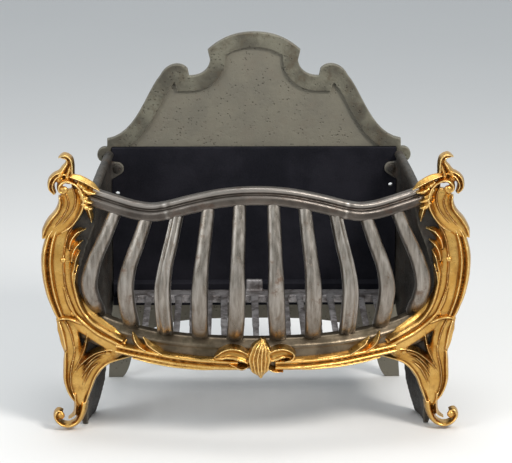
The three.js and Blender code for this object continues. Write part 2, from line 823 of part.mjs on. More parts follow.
// Reeds across a band: height over the back as a share, from edge to edge
function reededSection(width, height, reeds, grow) {
  const points = [];
  const steps = Math.max(reeds * 2, 3);
  for (let i = 0; i <= steps; i += 1) {
    const across = 1 - (2 * i) / steps;
    const dome = 0.62 + 0.38 * Math.sqrt(Math.max(0, 1 - across * across));
    const reed = reeds > 1 ? 0.7 + 0.3 * Math.abs(Math.sin((Math.PI * reeds * i) / steps)) : 1;
    points.push(new THREE.Vector2(across * (width / 2 + grow), height * dome * reed + grow));
  }
  points.push(new THREE.Vector2(-width / 2 - grow, -grow));
  points.push(new THREE.Vector2(width / 2 + grow, -grow));
  return points;
}

// Front face of the apron's skirt, on which the lower moulding lies
function mouldingY(z, x) {
  const slope = (footY(x + 1) - footY(x - 1)) / 2;
  return footY(x) - (APRON_REACH - APRON_STEP) * Math.hypot(1, slope);
}

// Front face of the iron behind the side mounts: the cheek's flange, and the apron inward of it
function mountY(z, x) {
  const flange = sideFront(z);
  const share = THREE.MathUtils.smoothstep(z, SEAT - 52, SEAT - 20);
  return THREE.MathUtils.lerp(flange, Math.min(flange, mouldingY(z, x)), share);
}

// A band in front of the cheek through front-view places (x, z); lift raises it off the flange
function band(places, widths, heights, reeds, options = {}) {
  const { steps = 16, lift = 0, grow = 0, yOf = mountY } = options;
  const points = places.map(([x, z]) => at(x, yOf(z, x) - MOUNT_BED - lift, z));
  const curve = new THREE.CatmullRomCurve3(points);
  const width = graded(widths);
  const height = graded(heights);
  return solid(
    sweep(
      curve,
      steps,
      (share) => reededSection(width(share), height(share), reeds, grow),
      (along) => new THREE.Vector3().crossVectors(along, at(0, -1, 0)),
    ),
  );
}

function berry(x, z, radius, lift, yOf = mountY) {
  const geometry = new THREE.SphereGeometry(radius, 8, 4);
  geometry.scale(1, 0.8, 1);
  geometry.rotateX(Math.PI / 2);
  geometry.translate(x, yOf(z, x) - MOUNT_BED - lift, z);
  return solid(geometry);
}

// Long S body, inner band, lower leg and foot scroll
function sideMount(grow = 0) {
  const g = { grow };
  return join([
    band(
      [
        [SIDE + 36, RAIL - 50],
        [SIDE + 50, BELLY + 68],
        [SIDE + 52, BELLY + 32],
        [SIDE + 51, BELLY - 2],
        [SIDE + 43, BELLY - 40],
        [SIDE + 33, SEAT + 18],
      ],
      [10, 22, 25, 25, 22, 18],
      [10, 16, 18, 18, 16, 14],
      2,
      { ...g, steps: 7 },
    ),
    band(
      [
        [SIDE + 26, RAIL - 54],
        [SIDE + 34, BELLY + 62],
        [SIDE + 38, BELLY + 30],
        [SIDE + 38, BELLY],
        [SIDE + 30, BELLY - 38],
        [SIDE + 18, SEAT + 26],
        [SIDE, SEAT - 4],
      ],
      [16, 40, 30, 24, 26, 30, 20],
      [12, 11, 10, 10, 10, 10, 10],
      1,
      { ...g, steps: 6 },
    ),
    band(
      [
        [SIDE + 10, BELLY + 74],
        [SIDE + 22, BELLY + 34],
        [SIDE + 27, BELLY + 2],
        [SIDE + 24, BELLY - 24],
        [SIDE + 12, BELLY - 50],
        [SIDE - 4, SEAT + 17],
        [SIDE - 26, SEAT - 3],
        [SIDE - 50, SEAT - 22],
        [SIDE - 72, SEAT - 36],
      ],
      [12, 34, 26, 25, 28, 27, 25, 26, 24],
      [8, 13, 14, 14, 14, 15, 15, 15, 14],
      1,
      { ...g, steps: 10 },
    ),
    ...[
      [SIDE + 28, BELLY + 58, SIDE - 14, BELLY + 77],
      [SIDE + 20, BELLY + 34, SIDE - 6, BELLY + 60],
      [SIDE + 18, BELLY + 12, SIDE + 4, BELLY + 42],
    ].map(([x0, z0, x1, z1]) =>
      band(
        [
          [x0, z0],
          [(x0 + x1) / 2 + 5, (z0 + z1) / 2 + 4],
          [x1, z1],
        ],
        [16, 19, 4],
        [15, 15, 7],
        1,
        { ...g, steps: 3 },
      ),
    ),
    band(
      [
        [SIDE + 27, SEAT + 22],
        [SIDE + 18, SEAT],
        [SIDE + 14, SEAT - 20],
        [SIDE + 10, SEAT - 40],
        [SIDE + 8, SEAT - 60],
        [SIDE + 7, SEAT - 80],
        [SIDE + 6, SEAT - 100],
        [SIDE + 3, SEAT - 118],
        [SIDE - 3, SEAT - 134],
        [SIDE - 3, SEAT - 150],
        [SIDE + 4, SEAT - 165],
        [SIDE + 17, SEAT - 172],
        [SIDE + 30, SEAT - 169],
        [SIDE + 36, SEAT - 160],
      ],
      [26, 38, 36, 33, 34, 40, 42, 34, 19, 15, 15, 13, 13, 12],
      [16, 18, 16, 16, 18, 20, 20, 20, 20, 20, 20, 20, 18, 16],
      2,
      { ...g, steps: 14 },
    ),
    berry(SIDE + 33, SEAT - 159, 9 + grow, 10),
    band(
      [
        [SIDE - 58, SEAT - 45],
        [SIDE - 35, SEAT - 53],
        [SIDE - 19, SEAT - 69],
        [SIDE - 9, SEAT - 92],
        [SIDE - 5, SEAT - 118],
      ],
      [20, 34, 40, 34, 16],
      [12, 14, 14, 16, 16],
      1,
      { ...g, steps: 5 },
    ),
    band(
      [
        [SIDE - 44, SEAT - 34],
        [SIDE - 26, SEAT - 46],
        [SIDE - 6, SEAT - 66],
        [SIDE + 8, SEAT - 84],
      ],
      [14, 24, 20, 6],
      [16, 22, 22, 16],
      2,
      { ...g, steps: 4 },
    ),
  ]);
}

// C scroll, volute and curled leaf finial
function upperScroll(grow = 0) {
  return join([
    band(
      [
        [SIDE + 39, RAIL - 55],
        [SIDE + 25, RAIL - 47],
        [SIDE + 14, RAIL - 33],
        [SIDE + 11, RAIL - 18],
        [SIDE + 10, RAIL - 4],
        [SIDE + 17, RAIL + 8],
        [SIDE + 28, RAIL + 10],
        [SIDE + 36, RAIL + 2],
        [SIDE + 33, RAIL - 7],
      ],
      [4, 20, 33, 36, 30, 20, 15, 12, 8],
      [18, 22, 24, 24, 24, 24, 24, 22, 18],
      3,
      { steps: 12, grow },
    ),
    berry(SIDE + 27, RAIL + 2, 11 + grow, 20),
    band(
      [
        [SIDE + 36, RAIL + 38],
        [SIDE + 43, RAIL + 24],
        [SIDE + 43, RAIL + 8],
        [SIDE + 35, RAIL - 3],
      ],
      [10, 14, 14, 6],
      [12, 16, 16, 12],
      1,
      { steps: 5, grow },
    ),
    band(
      [
        [SIDE + 27, RAIL + 12],
        [SIDE + 26, RAIL + 27],
        [SIDE + 21, RAIL + 42],
        [SIDE + 18, RAIL + 52],
        [SIDE + 23, RAIL + 60],
        [SIDE + 33, RAIL + 59],
      ],
      [42, 42, 24, 17, 12, 4],
      [16, 18, 16, 16, 16, 12],
      2,
      { steps: 7, grow },
    ),
  ]);
}

// Leaf spray that grips the end of the rail
function railSpray() {
  const yOf = (z, x) => railY(Math.min(x, RAIL_HALF_LENGTH)) - RAIL_DEPTH / 2;
  const o = { yOf, steps: 5 };
  return join([
    band(
      [
        [SIDE - 2, RAIL + 20],
        [SIDE - 12, RAIL + 14],
        [SIDE - 26, RAIL + 5],
        [SIDE - 38, RAIL - 4],
      ],
      [16, 24, 22, 8],
      [10, 15, 14, 8],
      2,
      o,
    ),
    berry(SIDE - 12, RAIL - 1, 12, 4, yOf),
    berry(SIDE - 27, RAIL - 10, 11, 4, yOf),
    berry(SIDE - 26, RAIL - 24, 10, 4, yOf),
    berry(SIDE - 12, RAIL - 17, 11, 4, yOf),
    band(
      [
        [SIDE - 18, RAIL - 24],
        [SIDE - 16, RAIL - 38],
        [SIDE - 16, RAIL - 51],
      ],
      [20, 17, 3],
      [12, 12, 6],
      1,
      o,
    ),
  ]);
}

// Two-reed moulding along the foot of the apron
function lowerMoulding() {
  const places = [];
  const start = SIDE - 60;
  const end = 26;
  const count = 8;
  for (let i = 0; i <= count; i += 1) {
    const x = THREE.MathUtils.lerp(start, end, i / count);
    places.push([x, footZ(x) - 39]);
  }
  const strip = band(places, [22, 22], [13, 13], 2, { steps: 10, yOf: mouldingY });
  const leafTips = [
    [SIDE - 62, SEAT - 28, SIDE - 87, SEAT - 12],
    [SIDE - 78, SEAT - 35, SIDE - 105, SEAT - 19],
  ].map(([x0, z0, x1, z1]) =>
    band(
      [
        [x0, z0],
        [(x0 + x1) / 2 + 2, (z0 + z1) / 2 + 2],
        [x1, z1],
      ],
      [14, 15, 4],
      [12, 13, 6],
      1,
      { steps: 4, yOf: mouldingY },
    ),
  );
  return join([strip, ...leafTips]);
}

function cartouche(grow = 0) {
  const o = { yOf: mouldingY, steps: 6, grow };
  return join([
    band(
      [
        [8, SEAT + 4],
        [5, SEAT - 12],
        [5, SEAT - 28],
        [7, SEAT - 46],
        [7, SEAT - 64],
      ],
      [16, 40, 42, 28, 8],
      [16, 26, 28, 24, 12],
      3,
      o,
    ),
    band(
      [
        [-8, SEAT - 34],
        [-26, SEAT - 23],
        [-44, SEAT - 20],
        [-58, SEAT - 24],
        [-69, SEAT - 32],
      ],
      [18, 26, 22, 20, 6],
      [16, 18, 18, 16, 13],
      2,
      o,
    ),
    berry(-28, SEAT - 43, 8 + grow, 6, mouldingY),
    band(
      [
        [16, SEAT - 30],
        [34, SEAT - 20],
        [50, SEAT - 22],
        [61, SEAT - 28],
      ],
      [20, 26, 18, 8],
      [16, 18, 16, 13],
      2,
      o,
    ),
  ]);
}

// ---------------------------------------------------------------- fasteners

// A round-headed screw or bolt along Y, its head towards the front and resting at seat
function fastener(x, z, seat, shank, head, headHeight, length) {
  const profile = [
    [0, 0],
    [shank, 0],
    [shank, length],
    [head, length],
    [head * 0.8, length + headHeight * 0.7],
    [0, length + headHeight],
  ].map(([r, y]) => new THREE.Vector2(r, y));
  const geometry = new THREE.LatheGeometry(profile, 8);
  geometry.rotateX(Math.PI);
  geometry.translate(x, seat + length, z);
  return solid(geometry);
}

function screw(x, z) {
  const seat = mountY(z, x) - MOUNT_BED - SCREW_SEAT - CLEARANCE;
  const length = sideFront(z) + CHEEK_WALL + 3 - seat;
  return fastener(x, z, seat, SCREW_SHANK, SCREW_HEAD, SCREW_HEAD * 0.7, length);
}

function screwBores() {
  return screwPlaces.flatMap(([x, z]) => {
    const seat = mountY(z, x) - MOUNT_BED - SCREW_SEAT;
    return [
      rod(x, z, SCREW_SHANK + CLEARANCE, seat - 5, seat + 60, 8),
      rod(x, z, SCREW_HEAD + CLEARANCE, seat - 40, seat, 10),
    ];
  });
}

function bolt() {
  const seat = linerFront - CLEARANCE - LUG - CLEARANCE;
  const length = BACK_DEPTH + CLEARANCE + NUT_THICKNESS + 1 - seat;
  return fastener(boltX, BOLT_HEIGHT, seat, BOLT_SHANK, BOLT_HEAD, 3, length);
}

// Square nut behind the back casting
function nut() {
  const face = BACK_DEPTH + CLEARANCE;
  const half = NUT_SIZE / 2;
  const x = boltX;
  const z = BOLT_HEIGHT;
  const square = [
    [x - half, z - half],
    [x + half, z - half],
    [x + half, z + half],
    [x - half, z + half],
  ];
  const bore = rod(x, z, BOLT_SHANK + CLEARANCE, face - 9, face + 20, 10);
  return plate(square, face, face + NUT_THICKNESS).subtract(bore);
}

// ---------------------------------------------------------------- assembly

const model = new THREE.Group();

function place(name, body, material, group = model) {
  const mesh = new THREE.Mesh(geometryOf(body), material.clone());
  mesh.name = name;
  group.add(mesh);
  return mesh;
}

const railGuard = railSweep(railGuardSection());
const apronCutter = apronSkirt(CLEARANCE);
const cartoucheBody = cutAll(cartouche(), [apronCutter]);
const cartoucheCutter = cartouche(CLEARANCE);
const cheekCutter = solid(loft(cheekRings(CLEARANCE)));
const mountCutter = sideMount(CLEARANCE);
const jointX = SIDE - 68; // where the lower mouldings butt against the side mounts
const mountCutters = [cheekCutter, apronCutter, box(0, jointX + CLEARANCE, -300, 100, 0, SEAT)];

place('back_casting', backCasting(), CAST_IRON);
place('fireback_liner', liner(), BLACK_IRON);
place('top_rail', railSweep(railSection()), STEEL);
place('apron', apron(), STEEL);
place('bottom_grate', bottomGrate(), WORN_IRON);
place('centre_cartouche', cartoucheBody, GILT);

for (let n = 0; n < BAR_COUNT; n += 1) {
  const hand = n < BAR_COUNT / 2 ? -1 : 1;
  const i = hand < 0 ? BAR_COUNT / 2 - 1 - n : n - BAR_COUNT / 2;
  place(`bar_${n + 1}`, bar(hand, i, i === 2), STEEL);
}

for (const [side, hand] of [
  ['left', -1],
  ['right', 1],
]) {
  const group = new THREE.Group();
  group.scale.x = hand;
  model.add(group);
  const scroll = cutAll(upperScroll(), [mountCutter, cheekCutter]);
  const spray = cutAll(railSpray(), [upperScroll(CLEARANCE), railGuard, cheekCutter]);
  const moulding = cutAll(lowerMoulding(), [
    apronCutter,
    hand > 0 ? cartoucheCutter : mirror(cartoucheCutter),
    box(jointX, SIDE, -300, 100, 0, SEAT),
  ]);
  place(`cheek_${side}`, cheek(), CAST_IRON, group);
  place(`gilt_side_mount_${side}`, cutAll(sideMount(), [...mountCutters, ...screwBores()]), GILT, group);
  place(`gilt_upper_scroll_${side}`, scroll, GILT, group);
  place(`gilt_rail_spray_${side}`, spray, GILT, group);
  place(`gilt_lower_moulding_${side}`, moulding, GILT, group);
  place(`cheek_bolt_${side}`, bolt(), CAST_IRON, group);
  place(`cheek_nut_${side}`, nut(), CAST_IRON, group);
  screwPlaces.forEach(([x, z], i) => {
    place(`mount_screw_${side}_${i + 1}`, screw(x, z), GILT, group);
  });
}

// Origin under the middle of the whole object
const extent = new THREE.Box3().setFromObject(model);
model.position.set(-(extent.min.x + extent.max.x) / 2, -(extent.min.y + extent.max.y) / 2, -extent.min.z);

export default model;
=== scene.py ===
"""Looks of a Louis XV pattern log grate: steel bars, iron castings and gilt brass scroll mounts.

Sizes are in millimetres, as on a drawing, and become metres in point(). Heights are above the hearth,
and depths are measured backwards from the front plane of the front feet.
"""

import math

import bmesh
import bpy
from mathutils import Euler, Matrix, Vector


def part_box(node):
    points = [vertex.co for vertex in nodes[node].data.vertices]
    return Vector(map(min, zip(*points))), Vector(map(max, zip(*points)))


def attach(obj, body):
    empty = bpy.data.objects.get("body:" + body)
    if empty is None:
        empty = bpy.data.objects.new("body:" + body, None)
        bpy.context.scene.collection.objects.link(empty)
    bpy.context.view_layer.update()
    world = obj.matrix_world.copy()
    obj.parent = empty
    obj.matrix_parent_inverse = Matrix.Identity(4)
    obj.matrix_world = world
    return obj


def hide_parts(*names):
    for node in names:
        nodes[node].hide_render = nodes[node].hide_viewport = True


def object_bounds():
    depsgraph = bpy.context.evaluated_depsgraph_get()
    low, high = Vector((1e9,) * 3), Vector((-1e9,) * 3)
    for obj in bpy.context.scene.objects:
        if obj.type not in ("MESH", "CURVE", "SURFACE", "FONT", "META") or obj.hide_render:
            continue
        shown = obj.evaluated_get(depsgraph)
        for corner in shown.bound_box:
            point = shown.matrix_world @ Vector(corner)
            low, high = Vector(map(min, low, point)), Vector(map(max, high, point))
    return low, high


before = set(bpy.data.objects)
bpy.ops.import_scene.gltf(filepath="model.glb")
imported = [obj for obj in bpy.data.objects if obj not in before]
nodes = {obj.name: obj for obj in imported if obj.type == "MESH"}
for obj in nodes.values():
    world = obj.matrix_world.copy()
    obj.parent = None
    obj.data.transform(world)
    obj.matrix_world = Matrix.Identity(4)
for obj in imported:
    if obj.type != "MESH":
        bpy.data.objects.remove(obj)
cad_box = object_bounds()

MM = 0.001

# ---------------------------------------------------------------- sizes of the object

BACK_DEPTH = 290
SIDE = 300
RAIL = 412
BELLY = 271
SEAT = 180
BACK_PLATE = 8
BACK_HALF_WIDTH = 262
SHOULDER = 445
CROWN = 637
REAR_FOOT_WIDTH = 26
ARCH_HEIGHT = 112  # arch between the rear feet
EAR_DROP = 28  # centre of the rolled ears, below the shoulder

RAIL_HEIGHT = 30
RAIL_DEPTH = 20
RAIL_HALF_LENGTH = 284
RAIL_BOW = 56
RAIL_CROWN = 10.5
RAIL_DIP = 22
RAIL_JOINT = 145  # centre to each brazed joint in the rail

BAR_COUNT = 10
BAR_TOP_WIDTH = 21
BAR_FOOT_WIDTH = 28
BAR_DEPTH = 15
BAR_PITCH_TOP = 51
BAR_PITCH_BELLY = 62
BAR_PITCH_FOOT = 58
BELLY_BOW = 78
FOOT_BOW = 72
REEDED_BAR = 2  # counted outward from the middle

APRON_DROP = 50
APRON_REAR_DROP = 34
APRON_MEETS = 20
APRON_RISE = 37
APRON_SLOPE = 12
APRON_WALL = 6
APRON_STEP = 1.5
APRON_REACH = 16
APRON_END = SIDE - 20
FOOT_HALF_WIDTH = SIDE - 10

SIDE_BOW = 20
SIDE_BOW_FOOT = 75
SIDE_BOW_HEAD = 23
LINER_TOP = 431
LINER_HALF_WIDTH = 254
BOLT_HEIGHT = RAIL - 18
BOLT_INSET = 18  # from the back's edge to the bolts
BOLT_HOLE = 4.3  # radius
BOLT_HEAD = 8  # radius
SCREW_HEAD = 4.6  # radius
SPARE_HOLE_DROPS = {-1: 47, 1: 32}  # by side, below the bolts
MOUNT_BED = 0.6
CLEARANCE = 0.3

# Mesh spacing of the castings that are run into one skin
GILT_GRAIN = 1.05
BORDER_GRAIN = 1.5
GRATE_GRAIN = 2.0
CHEEK_GRAIN = 2.2

# The frame's own depth of the front plane
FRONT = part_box("back_casting")[1].y / MM - BACK_DEPTH


def point(x, y, z):
    """A place on the object, in metres."""
    return Vector((x, y + FRONT, z)) * MM


# ---------------------------------------------------------------- curves of the basket


def smoothstep(value, low, high):
    share = min(max((value - low) / (high - low), 0.0), 1.0)
    return share * share * (3 - 2 * share)


def lerp(a, b, share):
    return a + (b - a) * share


def graded(values):
    """A value that changes smoothly through a few evenly spaced settings."""

    def at(share):
        place = min(max(share, 0.0), 1.0) * (len(values) - 1)
        i = min(int(place), len(values) - 2)
        return lerp(values[i], values[i + 1], smoothstep(place - i, 0, 1))

    return at


def bow(x, half_width):
    return math.cos(math.pi / 2 * min(abs(x) / half_width, 1))


def side_front(z):
    low, high = SEAT - SIDE_BOW_FOOT, RAIL + SIDE_BOW_HEAD
    share = min(max((z - low) / (high - low), 0), 1)
    return -SIDE_BOW * math.sin(math.pi * share) ** 2


RAIL_END = side_front(RAIL - RAIL_HEIGHT) - RAIL_DEPTH / 2 - CLEARANCE


def flowing(heights):
    """A smooth line through evenly spaced heights, level at its first one."""
    last = len(heights) - 1

    def at(share):
        i = min(int(share * last), last - 1)
        t = share * last - i
        p0, p1, p2, p3 = (heights[k] for k in (abs(i - 1), i, i + 1, min(i + 2, last)))
        start, end = (p2 - p0) / 2, (p3 - p1) / 2
        bend = 2 * (p1 - p2) + start + end
        return p1 + t * (start + t * (3 * (p2 - p1) - 2 * start - end + t * bend))

    return at


rail_rise = flowing(
    [RAIL_CROWN * share for share in (1, 0.9, 0.57, 0)]
    + [-RAIL_DIP * share for share in (0.34, 0.73, 1, 0.93, 0.65, 0.32, 0)]
)


def rail_y(x):
    return RAIL_END - RAIL_BOW * bow(x, RAIL_HALF_LENGTH)


def rail_z(x):
    return RAIL + rail_rise(min(abs(x) / RAIL_HALF_LENGTH, 1))


def belly_y(x):
    return side_front(BELLY) - 4 - BELLY_BOW * bow(x, SIDE)


def foot_y(x):
    return side_front(SEAT + APRON_MEETS) + APRON_REACH - APRON_STEP - FOOT_BOW * bow(x, FOOT_HALF_WIDTH)


def foot_z(x):
    return SEAT + APRON_RISE * min(abs(x) / FOOT_HALF_WIDTH, 1) ** 4


def spline(places, count):
    """Evenly spaced places and directions along a smooth line through the given places."""
    places = [Vector(p) for p in places]
    places = [2 * places[0] - places[1], *places, 2 * places[-1] - places[-2]]
    dense = []
    for i in range(1, len(places) - 2):
        p0, p1, p2, p3 = places[i - 1 : i + 3]
        gaps = [max((b - a).length ** 0.5, 1e-4) for a, b in ((p0, p1), (p1, p2), (p2, p3))]
        out = (p1 - p0) / gaps[0] - (p2 - p0) / (gaps[0] + gaps[1]) + (p2 - p1) / gaps[1]
        come = (p2 - p1) / gaps[1] - (p3 - p1) / (gaps[1] + gaps[2]) + (p3 - p2) / gaps[2]
        m1, m2 = out * gaps[1], come * gaps[1]
        for k in range(24):
            t = k / 24
            a, b = 2 * t**3 - 3 * t**2 + 1, t**3 - 2 * t**2 + t
            c, d = -2 * t**3 + 3 * t**2, t**3 - t**2
            dense.append(p1 * a + m1 * b + p2 * c + m2 * d)
    dense.append(places[-2])
    run = [0.0]
    for a, b in zip(dense, dense[1:]):
        run.append(run[-1] + (b - a).length)
    found, j = [], 0
    for k in range(count + 1):
        target = run[-1] * k / count
        while j < len(dense) - 2 and run[j + 1] < target:
            j += 1
        span = max(run[j + 1] - run[j], 1e-9)
        found.append(dense[j].lerp(dense[j + 1], (target - run[j]) / span))
    ways = []
    for k, place in enumerate(found):
        ways.append((found[min(k + 1, count)] - found[max(k - 1, 0)]).normalized())
    return found, ways


def outward(way):
    """Level direction out of the basket, square to a line that runs from left to right."""
    return way.cross(Vector((0, 0, 1))).normalized()


# ---------------------------------------------------------------- mesh making


def finished(name, bm, material, body="basket", stands_for=(), smooth=True):
    """Turns a bmesh in metres into a piece that rides on a body."""
    mesh = bpy.data.meshes.new(name)
    bm.to_mesh(mesh)
    bm.free()
    return dressed(name, mesh, material, body, stands_for, smooth)


def dressed(name, mesh, material, body="basket", stands_for=(), smooth=True):
    piece = bpy.data.objects.new(name, mesh)
    bpy.context.scene.collection.objects.link(piece)
    mesh.materials.clear()
    mesh.materials.append(material)
    mesh.polygons.foreach_set("use_smooth", [smooth] * len(mesh.polygons))
    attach(piece, body)
    if stands_for:
        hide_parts(*stands_for)
    return piece


def carry(bm, ring, places):
    """Extrudes a ring of vertices and sets the new ones on the given places."""
    edges = [bm.edges.get((a, b)) for a, b in zip(ring, ring[1:] + ring[:1])]
    made = bmesh.ops.extrude_edge_only(bm, edges=edges)["geom"]
    fresh = {v for v in made if isinstance(v, bmesh.types.BMVert)}
    following = []
    for old, place in zip(ring, places):
        new = next(e.other_vert(old) for e in old.link_edges if e.other_vert(old) in fresh)
        new.co = place
        following.append(new)
    return following


def loft(bm, rings):
    """A closed skin through a row of rings with the same number of places."""
    ring = [bm.verts.new(place) for place in rings[0]]
    for a, b in zip(ring, ring[1:] + ring[:1]):
        bm.edges.new((a, b))
    made = list(ring)
    bm.faces.new(ring)
    for places in rings[1:]:
        ring = carry(bm, ring, places)
        made.extend(ring)
    bm.faces.new(ring)
    bmesh.ops.recalc_face_normals(bm, faces=list({f for v in made for f in v.link_faces}))


def sweep(bm, places, count, section_at, side_at):
    """A section carried along a line; side_at gives the direction of the section's first axis."""
    found, ways = spline(places, count)
    rings = []
    for k, (centre, way) in enumerate(zip(found, ways)):
        side = side_at(way)
        side = (side - way * side.dot(way)).normalized()
        up = side.cross(way)
        ring = []
        for across, height in section_at(k / count):
            ring.append(point(*(centre + side * across + up * height)))
        rings.append(ring)
    loft(bm, rings)


def eased(section, count):
    """A closed section with its corners rounded by a smooth line through its points."""
    loop = [Vector((x, y, 0)) for x, y in section]
    found, _ = spline([*loop, loop[0]], count)
    return [(p.x, p.y) for p in found[:-1]]


def modifier(piece, kind, **settings):
    made = piece.modifiers.new(kind.title(), kind)
    for name, value in settings.items():
        setattr(made, name, value)
    return made


def cast_together(piece, voxel, turns):
    """Runs overlapping parts of a piece into one soft-cornered casting."""
    modifier(piece, "REMESH", mode="VOXEL", voxel_size=voxel * MM, use_smooth_shade=True)
    modifier(piece, "SMOOTH", factor=0.5, iterations=turns)


def mirrored(bm):
    """The same form for the left side of the basket."""
    bmesh.ops.scale(bm, vec=(-1, 1, 1), verts=bm.verts)
    bmesh.ops.reverse_faces(bm, faces=bm.faces)
    return bm


# ---------------------------------------------------------------- shader tools


class Amount:
    """A number or colour worked out by the nodes of a finish."""

    def __init__(self, finish, socket):
        self.finish = finish
        self.socket = socket

    def __add__(self, other):
        return self.finish.math("ADD", self, other)

    def __sub__(self, other):
        return self.finish.math("SUBTRACT", self, other)

    def __rsub__(self, other):
        return self.finish.math("SUBTRACT", other, self)

    def __mul__(self, other):
        return self.finish.math("MULTIPLY", self, other)

    __radd__ = __add__
    __rmul__ = __mul__


class Finish:
    """A material and the nodes that make it."""

    def __init__(self, name):
        self.material = bpy.data.materials.new(name)
        self.material.use_nodes = True
        self.tree = self.material.node_tree
        self.tree.nodes.clear()
        self.place = self.make("ShaderNodeTexCoord", {}, {}).outputs["Object"]

    def make(self, kind, settings, values):
        node = self.tree.nodes.new(kind)
        for name, value in settings.items():
            setattr(node, name, value)
        for name, value in values.items():
            if isinstance(value, Amount):
                value = value.socket
            if isinstance(value, bpy.types.NodeSocket):
                self.tree.links.new(value, node.inputs[name])
            else:
                node.inputs[name].default_value = value
        return node

    def math(self, operation, a, b=0.0):
        node = self.make("ShaderNodeMath", {"operation": operation}, {0: a, 1: b})
        return Amount(self, node.outputs[0])

    def stretched(self, x, y, z):
        node = self.make("ShaderNodeMapping", {}, {"Vector": self.place, "Scale": (x, y, z)})
        return node.outputs[0]

    def noise(self, size, detail=4.0, roughness=0.55, where=None):
        """Cloudy noise whose patches are about size millimetres across."""
        values = {"Vector": where or self.place, "Scale": 1 / (size * MM)}
        values |= {"Detail": detail, "Roughness": roughness}
        node = self.make("ShaderNodeTexNoise", {}, values)
        return Amount(self, node.outputs["Fac"])

    def cells(self, size, where=None):
        values = {"Vector": where or self.place, "Scale": 1 / (size * MM)}
        node = self.make("ShaderNodeTexVoronoi", {}, values)
        return Amount(self, node.outputs["Distance"])

    def edges(self):
        """High on ridges, low in hollows."""
        return Amount(self, self.make("ShaderNodeNewGeometry", {}, {}).outputs["Pointiness"])

    def height(self):
        """Height above the hearth, in millimetres."""
        node = self.make("ShaderNodeSeparateXYZ", {}, {0: self.place})
        return Amount(self, node.outputs["Z"]) * (1 / MM)

    def window(self, value, low, high, out_low=0.0, out_high=1.0):
        values = {0: value, 1: low, 2: high, 3: out_low, 4: out_high}
        node = self.make("ShaderNodeMapRange", {"interpolation_type": "SMOOTHSTEP"}, values)
        return Amount(self, node.outputs[0])

    def mix(self, share, a, b):
        values = {0: share, 6: a, 7: b}
        node = self.make("ShaderNodeMix", {"data_type": "RGBA"}, values)
        return Amount(self, node.outputs[2])

    def bump(self, height, distance, before=None):
        values = {"Height": height, "Distance": distance * MM, "Strength": 1.0}
        if before:
            values["Normal"] = before
        return self.make("ShaderNodeBump", {}, values).outputs[0]

    def done(self, **values):
        names = {key.replace("_", " "): value for key, value in values.items()}
        shader = self.make("ShaderNodeBsdfPrincipled", {}, names)
        self.make("ShaderNodeOutputMaterial", {}, {"Surface": shader.outputs[0]})
        return self.material


# ---------------------------------------------------------------- finishes


def gilt_brass():
    f = Finish("gilt_brass")
    edges = f.edges()
    # Ridges get a lighter gold: partly burnished wear, partly painted highlight
    ridges = f.window(edges, 0.51, 0.575)
    # Hollows get a near-black brown: partly dirt and patina, partly painted shade
    hollows = f.window(edges, 0.502, 0.44)
    cloud = f.noise(38, 3)
    fine = f.noise(6, 5, 0.65)
    gold = f.mix(f.window(cloud, 0.35, 0.7), (0.5, 0.27, 0.065, 1), (0.66, 0.4, 0.12, 1))
    gold = f.mix(ridges, gold, (0.92, 0.7, 0.32, 1))
    hollow_dirt_and_shade = hollows * f.window(fine, 0.25, 0.6, 0.75, 1)
    gold = f.mix(hollow_dirt_and_shade, gold, (0.085, 0.032, 0.012, 1))
    stains = f.window(f.noise(22, 6, 0.7), 0.56, 0.72, 0, 0.6) * (1 - ridges)
    gold = f.mix(stains, gold, (0.27, 0.12, 0.035, 1))
    rough = f.window(fine, 0.3, 0.7, 0.24, 0.4) + hollow_dirt_and_shade * 0.3 + stains * 0.15
    normal = f.bump(f.noise(3.2, 4, 0.6), 0.25)
    normal = f.bump(f.noise(14, 2), 0.8, normal)
    return f.done(Base_Color=gold, Metallic=1.0, Roughness=rough, Normal=normal)


def bar_steel():
    f = Finish("bar_steel")
    height = f.height()
    drawn = f.stretched(1, 1, 0.12)
    streaks = f.noise(7, 5, 0.6, drawn)
    patches = f.noise(45, 4, 0.6)
    # Painted shade: the bars turn darker and browner below the belly, where they face downward
    low = f.window(height + patches * 60, 290, 215)
    steel = f.mix(f.window(streaks, 0.3, 0.75), (0.17, 0.145, 0.12, 1), (0.36, 0.325, 0.29, 1))
    steel = f.mix(low * 0.6, steel, (0.15, 0.12, 0.09, 1))
    rust = f.window(f.noise(16, 7, 0.7), 0.52, 0.68) * f.window(patches, 0.4, 0.62)
    steel = f.mix(rust * 0.75, steel, (0.13, 0.07, 0.04, 1))
    # Painted highlight: pale steel colour along the bars' edges
    edges = f.window(f.edges(), 0.51, 0.56)
    steel = f.mix(edges * 0.8, steel, (0.8, 0.77, 0.72, 1))
    pits = f.window(f.cells(3.4), 0.28, 0.1) * f.window(f.noise(28, 3), 0.5, 0.64)
    rough = f.window(streaks, 0.3, 0.7, 0.26, 0.42) + rust * 0.3
    normal = f.bump(pits, -0.4)
    normal = f.bump(f.noise(2.2, 4, 0.6), 0.12, normal)
    normal = f.bump(f.noise(26, 2), 0.5, normal)
    return f.done(Base_Color=steel, Metallic=0.92, Roughness=rough, Normal=normal)


def rail_steel():
    f = Finish("rail_steel")
    patches = f.noise(50, 5, 0.6)
    fine = f.noise(5, 5, 0.6)
    steel = f.mix(f.window(patches, 0.35, 0.65), (0.055, 0.045, 0.038, 1), (0.11, 0.092, 0.078, 1))
    rust = f.window(f.noise(20, 7, 0.7), 0.5, 0.7)
    steel = f.mix(rust * 0.6, steel, (0.075, 0.04, 0.026, 1))
    # Painted highlight: pale steel colour along the rail's ridges
    edges = f.window(f.edges(), 0.508, 0.55)
    steel = f.mix(edges * 0.75, steel, (0.5, 0.46, 0.42, 1))
    rough = f.window(fine, 0.3, 0.7, 0.3, 0.46) + rust * 0.15
    normal = f.bump(f.noise(2.4, 5, 0.65), 0.2)
    normal = f.bump(f.noise(22, 2), 0.6, normal)
    return f.done(Base_Color=steel, Metallic=0.85, Roughness=rough, Normal=normal)


